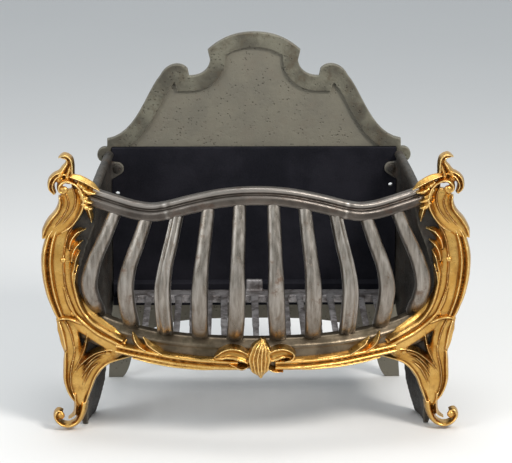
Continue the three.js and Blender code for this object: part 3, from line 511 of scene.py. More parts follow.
def apron_steel():
    f = Finish("apron_steel")
    patches = f.noise(42, 5, 0.6)
    fine = f.noise(4, 5, 0.65)
    steel = f.mix(f.window(patches, 0.35, 0.65), (0.08, 0.06, 0.04, 1), (0.16, 0.125, 0.085, 1))
    tarnish = f.window(f.noise(30, 6, 0.65), 0.45, 0.66)
    steel = f.mix(tarnish * 0.7, steel, (0.045, 0.036, 0.02, 1))
    rough = f.window(fine, 0.3, 0.7, 0.26, 0.42) + tarnish * 0.12
    normal = f.bump(fine, 0.15)
    normal = f.bump(f.noise(30, 2), 0.7, normal)
    return f.done(Base_Color=steel, Metallic=0.85, Roughness=rough, Normal=normal)


def cast_iron(name, dark, light, brown):
    f = Finish(name)
    patches = f.noise(70, 5, 0.6)
    grain = f.noise(2.6, 6, 0.7)
    pits = f.window(f.cells(5.5), 0.34, 0.08) * f.window(f.noise(24, 3), 0.42, 0.6)
    iron = f.mix(f.window(patches, 0.36, 0.64), dark, light)
    iron = f.mix(f.window(f.noise(26, 6, 0.7), 0.48, 0.66) * 0.7, iron, brown)
    edges = f.window(f.edges(), 0.51, 0.57)
    iron = f.mix(edges * 0.6, iron, (0.26, 0.24, 0.19, 1))
    iron = f.mix(pits * 0.6, iron, (0.02, 0.014, 0.01, 1))
    rough = f.window(grain, 0.3, 0.7, 0.42, 0.66)
    normal = f.bump(grain, 0.5)
    normal = f.bump(f.noise(11, 3), 1.0, normal)
    normal = f.bump(pits, -1.0, normal)
    return f.done(Base_Color=iron, Metallic=0.15, Roughness=rough, Specular_IOR_Level=0.22, Normal=normal)


def black_iron():
    f = Finish("black_iron")
    patches = f.noise(80, 5, 0.6)
    soot = f.mix(f.window(patches, 0.35, 0.65), (0.004, 0.004, 0.007, 1), (0.011, 0.0105, 0.015, 1))
    grain = f.noise(3, 5, 0.7)
    rough = f.window(grain, 0.3, 0.7, 0.62, 0.85)
    normal = f.bump(grain, 0.35)
    return f.done(Base_Color=soot, Roughness=rough, Specular_IOR_Level=0.15, Normal=normal)


def worn_iron():
    f = Finish("grate_iron")
    patches = f.noise(30, 5, 0.65)
    grain = f.noise(2.4, 6, 0.7)
    iron = f.mix(f.window(patches, 0.38, 0.62), (0.13, 0.115, 0.11, 1), (0.36, 0.34, 0.34, 1))
    burnt = f.window(f.noise(14, 6, 0.7), 0.52, 0.64)
    iron = f.mix(burnt * 0.8, iron, (0.07, 0.05, 0.045, 1))
    rough = f.window(grain, 0.3, 0.7, 0.4, 0.62)
    normal = f.bump(grain, 0.5)
    normal = f.bump(f.noise(8, 3), 1.0, normal)
    return f.done(Base_Color=iron, Metallic=0.6, Roughness=rough, Normal=normal)


GILT = gilt_brass()
STEEL = bar_steel()
RAIL_STEEL = rail_steel()
APRON_STEEL = apron_steel()
BACK_IRON = cast_iron(
    "back_iron",
    dark=(0.022, 0.019, 0.014, 1),
    light=(0.085, 0.075, 0.05, 1),
    brown=(0.05, 0.03, 0.017, 1),
)
BORDER_IRON = cast_iron(
    "border_iron",
    dark=(0.075, 0.068, 0.052, 1),
    light=(0.17, 0.16, 0.12, 1),
    brown=(0.085, 0.065, 0.042, 1),
)
CHEEK_IRON = cast_iron(
    "cheek_iron",
    dark=(0.022, 0.02, 0.018, 1),
    light=(0.065, 0.058, 0.05, 1),
    brown=(0.045, 0.028, 0.018, 1),
)
SOOT = black_iron()
WORN = worn_iron()

# ---------------------------------------------------------------- back casting


def bezier(start, steps, *curves):
    places = [start]
    for curve in curves:
        if len(curve) == 2:
            places.append(curve)
            continue
        a, (b, c, d) = places[-1], (curve[0:2], curve[2:4], curve[4:6])
        for i in range(1, steps + 1):
            t = i / steps
            w = ((1 - t) ** 3, 3 * t * (1 - t) ** 2, 3 * t * t * (1 - t), t**3)
            places.append(tuple(w[0] * a[k] + w[1] * b[k] + w[2] * c[k] + w[3] * d[k] for k in (0, 1)))
    return places


HEAD = bezier(
    (0, 1),
    12,
    (0.13, 1.0, 0.23, 0.94, 0.313, 0.835),
    (0.297, 0.745),
    (0.3, 0.66, 0.35, 0.59, 0.439, 0.592),
    (0.45, 0.66),
    (0.49, 0.73, 0.59, 0.72, 0.635, 0.595),
    (0.735, 0.44, 0.8, 0.04, 1, 0),
)
HEAD = [(x * BACK_HALF_WIDTH, SHOULDER + z * (CROWN - SHOULDER)) for x, z in HEAD]
BORDER_WIDTH = 27
BORDER_PROUD = 7
EAR_RADIUS = 14
BACK_FACE = BACK_DEPTH - BACK_PLATE


def both_sides(right):
    return [(-x, z) for x, z in reversed(right)][:-1] + list(right)


def distance_to(line, x, z):
    best = math.inf
    for (ax, az), (bx, bz) in zip(line, line[1:]):
        length = (bx - ax) ** 2 + (bz - az) ** 2
        t = min(max(((x - ax) * (bx - ax) + (z - az) * (bz - az)) / length, 0), 1)
        best = min(best, math.hypot(x - ax - t * (bx - ax), z - az - t * (bz - az)))
    return best


def inset(line, width):
    """The same line moved inwards with mitred corners, crossed stretches trimmed off."""
    normals = []
    for (ax, az), (bx, bz) in zip(line, line[1:]):
        length = math.hypot(bx - ax, bz - az)
        normals.append(((bz - az) / length, (ax - bx) / length))
    moved = []
    for i, (x, z) in enumerate(line):
        (ax, az), (bx, bz) = normals[max(i - 1, 0)], normals[min(i, len(normals) - 1)]
        reach = width / max(1 + ax * bx + az * bz, 0.35)
        place = (x + (ax + bx) * reach, z + (az + bz) * reach)
        if distance_to(line, *place) > width - 0.4:
            moved.append(place)
    return moved


def round_line(x, z, radius, count=32):
    turns = [math.tau * i / count for i in range(count)]
    return [(x + radius * math.cos(turn), z + radius * math.sin(turn)) for turn in turns]


def plate(bm, outline, front, rear, holes=()):
    """A flat plate between two depths, with holes through it."""
    edges = []
    for line in (outline, *holes):
        verts = [bm.verts.new(point(x, rear, z)) for x, z in line]
        edges += [bm.edges.new(pair) for pair in zip(verts, verts[1:] + verts[:1])]
    filled = bmesh.ops.triangle_fill(bm, edges=edges, use_beauty=True)["geom"]
    faces = [f for f in filled if isinstance(f, bmesh.types.BMFace)]
    made = bmesh.ops.extrude_face_region(bm, geom=faces)["geom"]
    verts = [v for v in made if isinstance(v, bmesh.types.BMVert)]
    bmesh.ops.translate(bm, vec=(0, (front - rear) * MM, 0), verts=verts)
    bmesh.ops.recalc_face_normals(bm, faces=bm.faces)


def make_back_plate():
    edge = BACK_HALF_WIDTH
    foot = edge - REAR_FOOT_WIDTH
    arch = bezier(
        (foot + 4, 0),
        12,
        (foot - 14, 18, foot - 10, 52, foot - 26, 74),
        (foot - 60, 108, foot - 110, ARCH_HEIGHT, 0, ARCH_HEIGHT),
    )
    right = [*HEAD, (edge, 60), (edge + 4, 0), *arch]
    outline = right + [(-x, z) for x, z in reversed(right)][1:-1]
    holes = []
    for hand, drop in SPARE_HOLE_DROPS.items():
        bolt_x = hand * (edge - BOLT_INSET)
        holes += [round_line(bolt_x, BOLT_HEIGHT - down, BOLT_HOLE) for down in (0, drop)]
    bm = bmesh.new()
    plate(bm, outline, BACK_FACE, BACK_DEPTH, holes)
    finished("back_plate", bm, BACK_IRON, stands_for=["back_casting"], smooth=False)


def make_border():
    """Proud border round the head, and the rolled ears at the shoulders."""
    edge = BACK_HALF_WIDTH
    line = both_sides(HEAD)
    inner = [p for p in inset(line, BORDER_WIDTH) if abs(p[0]) < edge]
    level = inner[0][1]
    over_liner = LINER_TOP + CLEARANCE
    inner = [(x, max(z, over_liner)) for x, z in inner if abs(x) < LINER_HALF_WIDTH]
    step = [(LINER_HALF_WIDTH, level), (LINER_HALF_WIDTH, over_liner)]
    right_end = [(edge, level), *step]
    left_end = [(-x, z) for x, z in reversed(right_end)]
    ring = [*line, *right_end, *reversed(inner), *left_end]
    bm = bmesh.new()
    plate(bm, ring, BACK_FACE - BORDER_PROUD, BACK_FACE + 2)
    for hand in (-1, 1):
        ear = round_line(hand * (edge + 4), SHOULDER - EAR_DROP, EAR_RADIUS)
        ear = [(hand * max(hand * x, LINER_HALF_WIDTH), z) for x, z in ear]
        plate(bm, ear, BACK_FACE - BORDER_PROUD, BACK_DEPTH)
    piece = finished("back_border", bm, BORDER_IRON)
    cast_together(piece, BORDER_GRAIN, 5)


make_back_plate()
make_border()


# ---------------------------------------------------------------- castings kept from the frame


def recast(node, name, material, voxel, turns, body="basket"):
    """The frame's own form of a casting, with soft sand-cast corners."""
    bm = bmesh.new()
    bm.from_mesh(nodes[node].data)
    bmesh.ops.remove_doubles(bm, verts=bm.verts, dist=0.00001)
    piece = finished(name, bm, material, body, [node])
    cast_together(piece, voxel, turns)
    return piece


recast("cheek_left", "cheek_casting_left", CHEEK_IRON, CHEEK_GRAIN, 6)
recast("cheek_right", "cheek_casting_right", CHEEK_IRON, CHEEK_GRAIN, 6)
recast("bottom_grate", "grate_casting", WORN, GRATE_GRAIN, 5, "grate")

nodes["fireback_liner"].material_slots[0].material = SOOT
for side in ("left", "right"):
    nodes[f"cheek_nut_{side}"].material_slots[0].material = CHEEK_IRON


# ---------------------------------------------------------------- rail, apron and bars


def level_line(half_length, y_of, z_of, count=48):
    places = []
    for i in range(count + 1):
        x = lerp(-half_length, half_length, i / count)
        places.append((x, y_of(x), z_of(x)))
    return places


def rail_section(share):
    h, d = RAIL_HEIGHT / 2, RAIL_DEPTH / 2
    x = abs(share - 0.5) * 2 * RAIL_HALF_LENGTH
    lump = 1.3 * math.exp(-(((x - RAIL_JOINT) / 5) ** 2))
    corners = [
        (-d, -h + 3),
        (-d, h - 4),
        (-d + 4, h),
        (d - 10, h - 0.4),
        (d - 6, h - 0.8),
        (d - 3.4, h - 2.6),
        (d - 2.6, h - 6),
        (d - 4.4, h - 9),
        (d - 6.4, h - 10.6),
        (d - 5.8, h - 12),
        (d - 3.4, h - 13.2),
        (d - 1.2, h - 15.4),
        (d - 0.1, h - 19),
        (d - 0.7, -h + 3.6),
        (d - 3.6, -h + 0.6),
        (d - 8, -h),
        (-d + 3, -h),
    ]
    return eased([(x + lump if x > 0 else x, y) for x, y in corners], 60)


def make_rail():
    bm = bmesh.new()
    sweep(bm, level_line(RAIL_HALF_LENGTH, rail_y, rail_z), 240, rail_section, outward)
    finished("rail_moulding", bm, RAIL_STEEL, stands_for=["top_rail"])


APRON_BACK = BAR_DEPTH / 2 + 4


def apron_section(_):
    front = APRON_REACH - APRON_STEP
    inside = front - APRON_WALL
    corners = [
        (-APRON_BACK, 0),
        (-6, 0),
        (2, -0.2),
        (5, -0.8),
        (10, -5.5),
        (15, -10.4),
        (APRON_REACH, -12.4),
        (APRON_REACH - 0.2, -14.6),
        (front, -16.2),
        (front, -20),
        (front, -APRON_DROP + 2),
        (front - 1, -APRON_DROP),
        (inside, -APRON_DROP),
        (inside, -APRON_DROP + 3),
        (inside, -APRON_SLOPE - 6),
        (0, -APRON_WALL - 1),
        (-APRON_BACK + APRON_WALL, -APRON_WALL - 1),
        (-APRON_BACK + APRON_WALL, -APRON_REAR_DROP),
        (-APRON_BACK, -APRON_REAR_DROP),
    ]
    return eased(corners, 76)


def make_apron():
    bm = bmesh.new()
    sweep(bm, level_line(APRON_END - 1, foot_y, foot_z), 200, apron_section, outward)
    finished("apron_band", bm, APRON_STEEL, stands_for=["apron"])


def bar_section(width, reeded):
    face = []
    for i in range(33):
        turn = math.pi * i / 32
        dome = math.sin(turn) ** 0.8
        reed = 0.7 + 0.3 * abs(math.sin(3 * turn)) if reeded else 1
        face.append((math.cos(turn) * width / 2, -BAR_DEPTH * 0.1 + dome * reed * BAR_DEPTH * 0.6))
    back, half = -BAR_DEPTH / 2, width / 2
    left = [(-half * 0.99, -3), (-half * 0.94, back)]
    right = [(half * 0.94, back), (half * 0.99, -3)]
    return [*face, *left, (0, back), *right]


def make_bar(number):
    middle = BAR_COUNT // 2
    hand = -1 if number <= middle else 1
    i = middle - number if hand < 0 else number - middle - 1
    top = hand * BAR_PITCH_TOP * (i + 0.54)
    belly = hand * BAR_PITCH_BELLY * (i + 0.52)
    foot = hand * BAR_PITCH_FOOT * (i + 0.62)
    top_y, top_z, front = rail_y(top) + 1, rail_z(top) - 4, belly_y(belly)
    places = [
        (top, top_y, top_z),
        (lerp(top, belly, 0.42), lerp(top_y, front, 0.42) - 2, lerp(top_z, BELLY, 0.4)),
        (lerp(top, belly, 0.82), lerp(top_y, front, 0.84), lerp(top_z, BELLY, 0.76)),
        (belly, front, BELLY - 8),
        (lerp(belly, foot, 0.35), front + 5, lerp(BELLY, foot_z(foot), 0.55)),
        (lerp(belly, foot, 0.8), lerp(front, foot_y(foot), 0.55), foot_z(foot) + 12),
        (foot, foot_y(foot) + 2, foot_z(foot) - 2),
    ]
    slope = (belly_y(belly + 1) - belly_y(belly - 1)) / 2
    across = Vector((-1, -slope, 0)).normalized()
    width = graded([BAR_TOP_WIDTH, BAR_TOP_WIDTH + 2, BAR_FOOT_WIDTH, BAR_FOOT_WIDTH])
    bm = bmesh.new()
    sweep(bm, places, 90, lambda share: bar_section(width(share), i == REEDED_BAR), lambda way: across)
    finished(f"steel_bar_{number}", bm, STEEL, stands_for=[f"bar_{number}"])


make_rail()
make_apron()
for number in range(1, BAR_COUNT + 1):
    make_bar(number)


# ---------------------------------------------------------------- gilt castings


def apron_face(x, z):
    """Depth of the apron's front, on which the lower mouldings lie."""
    slope = (foot_y(x + 1) - foot_y(x - 1)) / 2
    return foot_y(x) - (APRON_REACH - APRON_STEP) * math.hypot(1, slope)


def mount_face(x, z):
    """Depth of the iron behind the side mounts."""
    flange = side_front(z)
    return lerp(flange, min(flange, apron_face(x, z)), smoothstep(z, SEAT - 52, SEAT - 20))


def rail_face(x, z):
    return rail_y(min(x, RAIL_HALF_LENGTH)) - RAIL_DEPTH / 2


# Profiles across a strip, from its inner to its outer edge when the strip runs downwards
ROUND = [0.2, 0.72, 0.93, 1.0, 0.93, 0.72, 0.2]
KEEL = [0.2, 0.42, 0.68, 1.0, 0.68, 0.42, 0.2]
SHEET = [0.8, 1.0, 1.0, 0.8]
DISH = [1.0, 0.8, 0.62, 0.55, 0.62, 0.8, 1.0]
TWO_REEDS = [0.4, 0.86, 1.0, 0.86, 0.45, 0.86, 1.0, 0.86, 0.4]
RIBS = [0.5, 0.85, 0.7, 0.92, 0.78, 1.0, 0.84, 1.0, 0.78, 0.92, 0.7, 0.85, 0.5]


def strip(bm, places, widths, heights, profile=ROUND, face=mount_face, steps=48, lift=0.0):
    """A raised strip laid over a face, through places seen from the front."""
    laid = [(x, face(x, z) - MOUNT_BED - lift, z) for x, z in places]
    width_at, height_at, profile_at = graded(widths), graded(heights), graded(profile)

    def section_at(share):
        half, height = width_at(share) / 2, height_at(share)
        over = []
        for i in range(25):
            across = 1 - i / 12
            rim = 0.4 + 0.6 * math.sqrt(max(0, 1 - abs(across) ** 5))
            over.append((across * half, height * profile_at(i / 24) * rim))
        return [*over, (-half, -0.5), (half, -0.5)]

    sweep(bm, laid, steps, section_at, lambda way: way.cross(Vector((0, -1, 0))))


def berry(bm, x, z, radius, lift, face=mount_face, squash=0.8):
    made = bmesh.ops.create_uvsphere(bm, u_segments=24, v_segments=14, radius=radius * MM)
    bmesh.ops.scale(bm, vec=(1, squash, 1), verts=made["verts"])
    bmesh.ops.translate(bm, vec=point(x, face(x, z) - MOUNT_BED - lift, z), verts=made["verts"])


def s_scroll(bm):
    """Long S body: outer reeds, a deep hollow and an inner band, with leaves on its inner edge."""
    sheet = [
        (318, 360), (330, 334), (333, 305), (331, 276), (322, 245), (308, 218), (288, 196),
        (266, 181), (244, 168), (224, 154),
    ]
    strip(
        bm,
        sheet,
        [24, 40, 46, 48, 48, 48, 46, 42, 40, 34],
        [8, 8, 8, 8, 8, 8, 9, 9, 9, 9],
        SHEET,
        steps=70,
    )
    outer = [(329, 364), (341, 342), (348, 309), (347, 276), (341, 241), (333, 214), (326, 194)]
    strip(bm, outer, [8, 19, 22, 22, 21, 18, 14], [14, 17, 19, 19, 18, 16, 12], TWO_REEDS, steps=70)
    ridge = [
        (301, 366), (313, 347), (320, 319), (321, 285), (318, 254), (309, 225), (297, 200),
        (282, 184),
    ]
    strip(bm, ridge, [5, 6, 6, 6, 6, 6, 6, 4], [12, 13, 14, 14, 14, 14, 14, 10], KEEL, steps=70)
    bead = [
        (304, 299), (306, 277), (302, 250), (296, 227), (287, 209), (273, 195), (255, 185),
        (237, 176), (220, 168),
    ]
    strip(bm, bead, [4, 9, 10, 10, 10, 10, 10, 10, 8], [12, 16, 17, 17, 17, 17, 17, 17, 15], steps=70)
    low = [(322, 256), (313, 226), (301, 205), (284, 190), (264, 177), (241, 167), (218, 156)]
    strip(bm, low, [4, 8, 10, 11, 12, 12, 10], [10, 14, 15, 16, 16, 16, 14], steps=60)
    for places, width in (
        ([(312, 319), (308, 336), (298, 349), (283, 355)], 14),
        ([(308, 299), (305, 316), (298, 328), (289, 335)], 13),
        ([(307, 275), (303, 292), (300, 306), (294, 318)], 12),
        ([(304, 250), (303, 268), (301, 282), (297, 294)], 9),
    ):
        strip(bm, places, [width - 4, width, width - 1, 3], [15, 17, 16, 9], KEEL, steps=30)
    strip(
        bm,
        [(293, 191), (309, 200), (324, 202), (336, 197)],
        [6, 10, 10, 5],
        [15, 20, 20, 12],
        steps=30,
    )


def leg(bm):
    """Lower leg, wrapped in a leaf, ending in a foot scroll."""
    sheet = [
        (327, 200), (318, 180), (313, 158), (309, 138), (308, 118), (307, 98), (306, 80),
        (302, 62), (297, 46),
    ]
    strip(
        bm,
        sheet,
        [22, 34, 34, 32, 34, 40, 40, 30, 16],
        [10, 11, 11, 11, 12, 13, 14, 14, 14],
        SHEET,
        steps=60,
    )
    strip(
        bm,
        [(322, 199), (314, 184), (309, 166), (307, 148)],
        [5, 8, 8, 4],
        [16, 19, 18, 13],
        KEEL,
        steps=30,
    )
    strip(bm, [(331, 195), (325, 175), (322, 158), (320, 142)], [5, 9, 8, 4], [14, 18, 17, 12], steps=30)
    strip(
        bm,
        [(304, 156), (308, 132), (313, 108), (314, 84), (308, 60), (301, 42)],
        [4, 7, 9, 9, 8, 6],
        [13, 17, 20, 21, 21, 20],
        KEEL,
        steps=50,
    )
    strip(
        bm,
        [(322, 142), (323, 112), (323, 86), (315, 62), (303, 46)],
        [5, 9, 9, 8, 5],
        [14, 18, 19, 19, 17],
        steps=50,
    )
    strip(
        bm,
        [(284, 180), (288, 152), (297, 128), (306, 110)],
        [4, 7, 8, 5],
        [12, 15, 17, 15],
        KEEL,
        steps=40,
    )
    curl = [(292, 50), (296, 30), (305, 14), (320, 7.5), (334, 12), (342, 24), (337, 34), (329, 32)]
    strip(bm, curl, [14, 14, 13, 11, 10, 9, 8, 5], [18, 20, 20, 20, 20, 20, 19, 16], steps=70)
    strip(
        bm,
        [(307, 66), (306, 44), (309, 28), (320, 19)],
        [7, 9, 8, 4],
        [22, 24, 22, 16],
        KEEL,
        steps=30,
    )
    berry(bm, 332, 26, 6.5, 13)


def lower_leaf(bm):
    """Acanthus leaf under the scroll, with fingers that lap over the leg."""
    sheet = [(222, 150), (246, 138), (267, 123), (281, 102), (290, 77), (295, 54)]
    strip(bm, sheet, [16, 26, 34, 32, 22, 8], [8, 9, 10, 11, 13, 14], SHEET, steps=50)
    edge = [(208, 132), (230, 126), (253, 117), (271, 98), (281, 74), (290, 48)]
    strip(bm, edge, [5, 7, 8, 8, 7, 5], [12, 14, 15, 16, 17, 18], steps=60)
    strip(
        bm,
        [(214, 141), (240, 150), (264, 144), (284, 130), (300, 114), (309, 99)],
        [6, 9, 11, 11, 10, 3],
        [14, 17, 20, 22, 22, 14],
        KEEL,
        steps=50,
    )
    for places in (
        [(246, 140), (265, 136), (281, 124), (294, 108)],
        [(257, 131), (273, 125), (286, 111), (297, 92)],
        [(264, 121), (277, 111), (286, 97), (294, 78)],
    ):
        strip(bm, places, [5, 9, 9, 3], [13, 18, 20, 14], KEEL, steps=30)


def side_mount(bm):
    s_scroll(bm)
    leg(bm)
    lower_leaf(bm)


def upper_scroll(bm):
    """C scroll with flutes, ending in a volute, under a curled leaf."""
    sheet = [(308, 424), (306, 406), (309, 389), (322, 370), (339, 352), (351, 338)]
    strip(bm, sheet, [34, 40, 40, 40, 28, 12], [14, 15, 15, 15, 14, 12], SHEET, steps=50)
    strap = [
        (324, 349), (310, 359), (300, 370), (293, 381), (288, 392), (286, 402), (287, 414),
        (291, 424), (297, 432),
    ]
    over = [(305, 437), (313, 439), (321, 436), (326, 429), (324, 421), (317, 419)]
    strip(
        bm,
        [*strap, *over],
        [4, 6, 7, 8, 8, 8, 9, 9, 10, 10, 8],
        [14, 18, 20, 22, 23, 24, 26, 27, 28, 28, 25],
        steps=100,
    )
    berry(bm, 318, 424, 7, 20, squash=0.7)
    strip(
        bm,
        [(305, 430), (299, 412), (302, 393), (312, 377), (330, 358)],
        [5, 8, 8, 8, 4],
        [20, 22, 22, 20, 14],
        KEEL,
        steps=50,
    )
    strip(
        bm,
        [(315, 416), (311, 403), (314, 390), (325, 373), (341, 355)],
        [5, 8, 8, 8, 4],
        [20, 22, 22, 20, 14],
        KEEL,
        steps=50,
    )
    strip(
        bm,
        [(326, 412), (325, 400), (329, 388), (343, 370), (352, 354), (356, 338)],
        [6, 9, 9, 10, 9, 4],
        [20, 22, 22, 21, 18, 12],
        steps=50,
    )
    strip(
        bm,
        [(317, 450), (330, 447), (338, 438), (340, 427), (334, 415)],
        [8, 12, 14, 12, 6],
        [14, 18, 20, 20, 16],
        TWO_REEDS,
        steps=40,
    )
    sheet = [(320, 434), (318, 446), (313, 458), (309, 468), (312, 476), (322, 477)]
    strip(bm, sheet, [32, 28, 20, 14, 11, 6], [14, 16, 16, 15, 14, 10], TWO_REEDS, steps=50)
    strip(
        bm,
        [(303, 440), (304, 452), (304, 464), (307, 476), (317, 481), (327, 476)],
        [5, 7, 7, 7, 7, 3],
        [16, 19, 20, 20, 18, 12],
        steps=50,
    )


def rail_spray(bm):
    """Leaf and berries that grip the end of the rail."""
    strip(
        bm,
        [(308, 447), (292, 442), (275, 434), (258, 423)],
        [9, 13, 12, 3],
        [13, 16, 15, 8],
        KEEL,
        rail_face,
        36,
    )
    for places in (
        [(296, 436), (288, 430), (279, 427)],
        [(284, 424), (274, 420), (264, 418)],
        [(294, 424), (287, 415), (277, 410)],
        [(290, 412), (281, 405), (270, 402)],
        [(288, 401), (280, 394), (270, 392)],
    ):
        strip(bm, places, [10, 12, 4], [12, 14, 8], ROUND, rail_face, 20)
    strip(bm, [(279, 396), (275, 382), (273, 368)], [13, 11, 3], [12, 12, 6], KEEL, rail_face, 30)


def lower_moulding(bm):
    """Two reeds along the foot of the apron, with two leaf tips that rise from them."""
    reeds = [(232, 154), (207, 151), (173, 147), (139, 143), (89, 140), (47, 139), (30, 139)]
    strip(
        bm,
        reeds,
        [20, 20, 21, 21, 21, 22, 20],
        [14, 14, 14, 14, 14, 14, 13],
        TWO_REEDS,
        apron_face,
        110,
    )
    strip(
        bm,
        [(205, 140), (170, 136), (139, 133), (89, 131), (60, 131)],
        [4, 7, 7, 7, 3],
        [12, 16, 16, 15, 11],
        ROUND,
        apron_face,
        90,
    )
    for places in (
        [(154, 150), (169, 159), (180, 166), (189, 177)],
        [(181, 154), (194, 162), (202, 171), (207, 185)],
    ):
        strip(bm, places, [9, 13, 11, 3], [16, 17, 15, 7], KEEL, apron_face, 30)


def cartouche(bm):
    """Ribbed shell with a ribbon leaf on each side."""
    shell = [(11, 185), (8, 172), (5, 156), (5, 138), (7, 117)]
    strip(bm, shell, [10, 34, 42, 34, 6], [14, 25, 27.5, 25, 12], RIBS, apron_face, 50)
    left = [(-12, 148), (-26, 157), (-40, 160), (-55, 157), (-70, 149)]
    strip(bm, left, [14, 22, 20, 16, 4], [20, 22, 21, 18, 12], DISH, apron_face, 50)
    strip(
        bm,
        [(-14, 160), (-28, 168), (-44, 170), (-58, 164), (-70, 152)],
        [5, 7, 7, 7, 3],
        [20, 24, 24, 21, 13],
        ROUND,
        apron_face,
        50,
    )
    strip(
        bm,
        [(-14, 138), (-24, 134), (-36, 138), (-50, 144)],
        [9, 13, 9, 4],
        [18, 20, 17, 12],
        KEEL,
        apron_face,
        30,
    )
    right = [(18, 150), (32, 158), (46, 160), (57, 154)]
    strip(bm, right, [14, 20, 18, 8], [20, 22, 20, 15], DISH, apron_face, 40)
    strip(
        bm,
        [(20, 162), (34, 169), (50, 168), (62, 158), (58, 149), (44, 145)],
        [5, 7, 7, 7, 6, 4],
        [20, 24, 24, 21, 19, 16],
        ROUND,
        apron_face,
        50,
    )
    strip(bm, [(16, 136), (28, 130), (44, 127)], [9, 11, 4], [18, 19, 13], KEEL, apron_face, 30)


def make_gilt(name, form, stands_for, hand=1):
    bm = bmesh.new()
    form(bm)
    if hand < 0:
        mirrored(bm)
    piece = finished(name, bm, GILT, stands_for=[stands_for])
    cast_together(piece, GILT_GRAIN, 4)


for side, hand in (("left", -1), ("right", 1)):
    make_gilt(f"side_mount_{side}", side_mount, f"gilt_side_mount_{side}", hand)
    make_gilt(f"upper_scroll_{side}", upper_scroll, f"gilt_upper_scroll_{side}", hand)
    make_gilt(f"rail_spray_{side}", rail_spray, f"gilt_rail_spray_{side}", hand)
    make_gilt(f"lower_moulding_{side}", lower_moulding, f"gilt_lower_moulding_{side}", hand)
make_gilt("cartouche", cartouche, "centre_cartouche")


# ---------------------------------------------------------------- screws and bolts


def turned(name, node, profile, material):
    """A round fastener spun about the axis of the frame's own, its head towards the front."""
    low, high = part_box(node)
    middle = (low + high) / 2
    bm = bmesh.new()
    verts = [bm.verts.new((middle.x + r * MM, low.y + depth * MM, middle.z)) for r, depth in profile]
    edges = [bm.edges.new(pair) for pair in zip(verts, verts[1:])]
    bmesh.ops.spin(
        bm,
        geom=verts + edges,
        cent=middle,
        axis=(0, 1, 0),
        angle=math.tau,
        steps=32,
        use_merge=True,
        use_duplicate=False,
    )
    bmesh.ops.remove_doubles(bm, verts=bm.verts, dist=0.00001)
    bmesh.ops.recalc_face_normals(bm, faces=bm.faces)
    finished(name, bm, material, stands_for=[node])


def dome(radius, height, shank, length):
    turns = [math.pi * i / 16 for i in range(8)]
    head = [(radius * math.sin(turn), height * (1 - math.cos(turn))) for turn in turns]
    stem = [(shank, height), (shank, length), (0, length)]
    return [*head, (radius, height - 0.4), (radius, height), *stem]


for side in ("left", "right"):
    for i in (1, 2, 3):
        node = f"mount_screw_{side}_{i}"
        low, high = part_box(node)
        head = dome(SCREW_HEAD, 3.2, 2.4, (high.y - low.y) / MM)
        turned(f"round_screw_{side}_{i}", node, head, GILT)
    node = f"cheek_bolt_{side}"
    low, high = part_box(node)
    head = dome(BOLT_HEAD, 3, 4, (high.y - low.y) / MM)
    turned(f"corner_bolt_{side}", node, head, CHEEK_IRON)


# ---------------------------------------------------------------- floor, light and camera


def pale(name, colour):
    f = Finish(name)
    cloud = f.noise(900, 3)
    tint = f.mix(cloud, colour, tuple(c * 0.97 for c in colour[:3]) + (1,))
    return f.done(Base_Color=tint, Roughness=0.85)


def make_floor():
    bm = bmesh.new()
    bmesh.ops.create_grid(bm, x_segments=2, y_segments=2, size=9)
    bmesh.ops.translate(bm, vec=(0, 0, cad_box[0][2] - 0.0005), verts=bm.verts)
    mesh = bpy.data.meshes.new("floor")
    bm.to_mesh(mesh)
    bm.free()
    floor = bpy.data.objects.new("floor", mesh)
    bpy.context.scene.collection.objects.link(floor)
    mesh.materials.append(pale("floor_paint", (0.8, 0.79, 0.77, 1)))


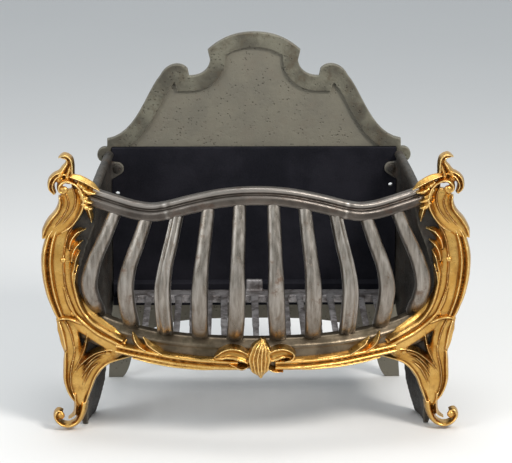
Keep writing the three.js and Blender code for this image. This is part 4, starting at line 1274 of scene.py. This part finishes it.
def make_world():
    world = bpy.data.worlds.new("studio")
    bpy.context.scene.world = world
    world.use_nodes = True
    tree = world.node_tree
    tree.nodes.clear()
    rays = tree.nodes.new("ShaderNodeLightPath")
    seen = tree.nodes.new("ShaderNodeMath")
    seen.operation = "MAXIMUM"
    tree.links.new(rays.outputs["Is Camera Ray"], seen.inputs[0])
    tree.links.new(rays.outputs["Is Glossy Ray"], seen.inputs[1])
    also = tree.nodes.new("ShaderNodeMath")
    also.operation = "MAXIMUM"
    tree.links.new(seen.outputs[0], also.inputs[0])
    tree.links.new(rays.outputs["Is Transmission Ray"], also.inputs[1])
    soft = tree.nodes.new("ShaderNodeBackground")
    soft.inputs["Color"].default_value = (0.86, 0.93, 1, 1)
    soft.inputs["Strength"].default_value = 0.55
    wall = tree.nodes.new("ShaderNodeBackground")
    wall.inputs["Color"].default_value = (0.79, 0.84, 0.85, 1)
    wall.inputs["Strength"].default_value = 0.95
    either = tree.nodes.new("ShaderNodeMixShader")
    tree.links.new(also.outputs[0], either.inputs[0])
    tree.links.new(soft.outputs[0], either.inputs[1])
    tree.links.new(wall.outputs[0], either.inputs[2])
    out = tree.nodes.new("ShaderNodeOutputWorld")
    tree.links.new(either.outputs[0], out.inputs["Surface"])


def lamp(name, place, target, size, power, colour):
    data = bpy.data.lights.new(name, "AREA")
    data.shape = "DISK"
    data.size = size
    data.energy = power
    data.color = colour
    lit = bpy.data.objects.new(name, data)
    bpy.context.scene.collection.objects.link(lit)
    lit.location = place
    lit.rotation_euler = (Vector(target) - Vector(place)).to_track_quat("-Z", "Y").to_euler()


def make_camera():
    data = bpy.data.cameras.new("camera")
    data.sensor_width = 36
    data.lens = 161.71875
    camera = bpy.data.objects.new("camera", data)
    bpy.context.scene.collection.objects.link(camera)
    camera.location = point(-45.74, -3740, 1282)
    camera.rotation_euler = Euler((math.radians(90 - 14.0714), 0, math.radians(-0.7007)))
    bpy.context.scene.camera = camera


make_floor()
make_world()
lamp("key", (1.5, -1.7, 2.2), (0, 0, 0.25), 0.9, 62, (1, 0.97, 0.93))
lamp("fill", (-2.0, -1.5, 1.5), (0, 0, 0.25), 1.6, 26, (0.93, 0.97, 1))
lamp("top", (0, 0.4, 2.6), (0, 0, 0.2), 1.5, 22, (1, 1, 1))
make_camera()
bpy.context.scene.view_settings.view_transform = "Standard"
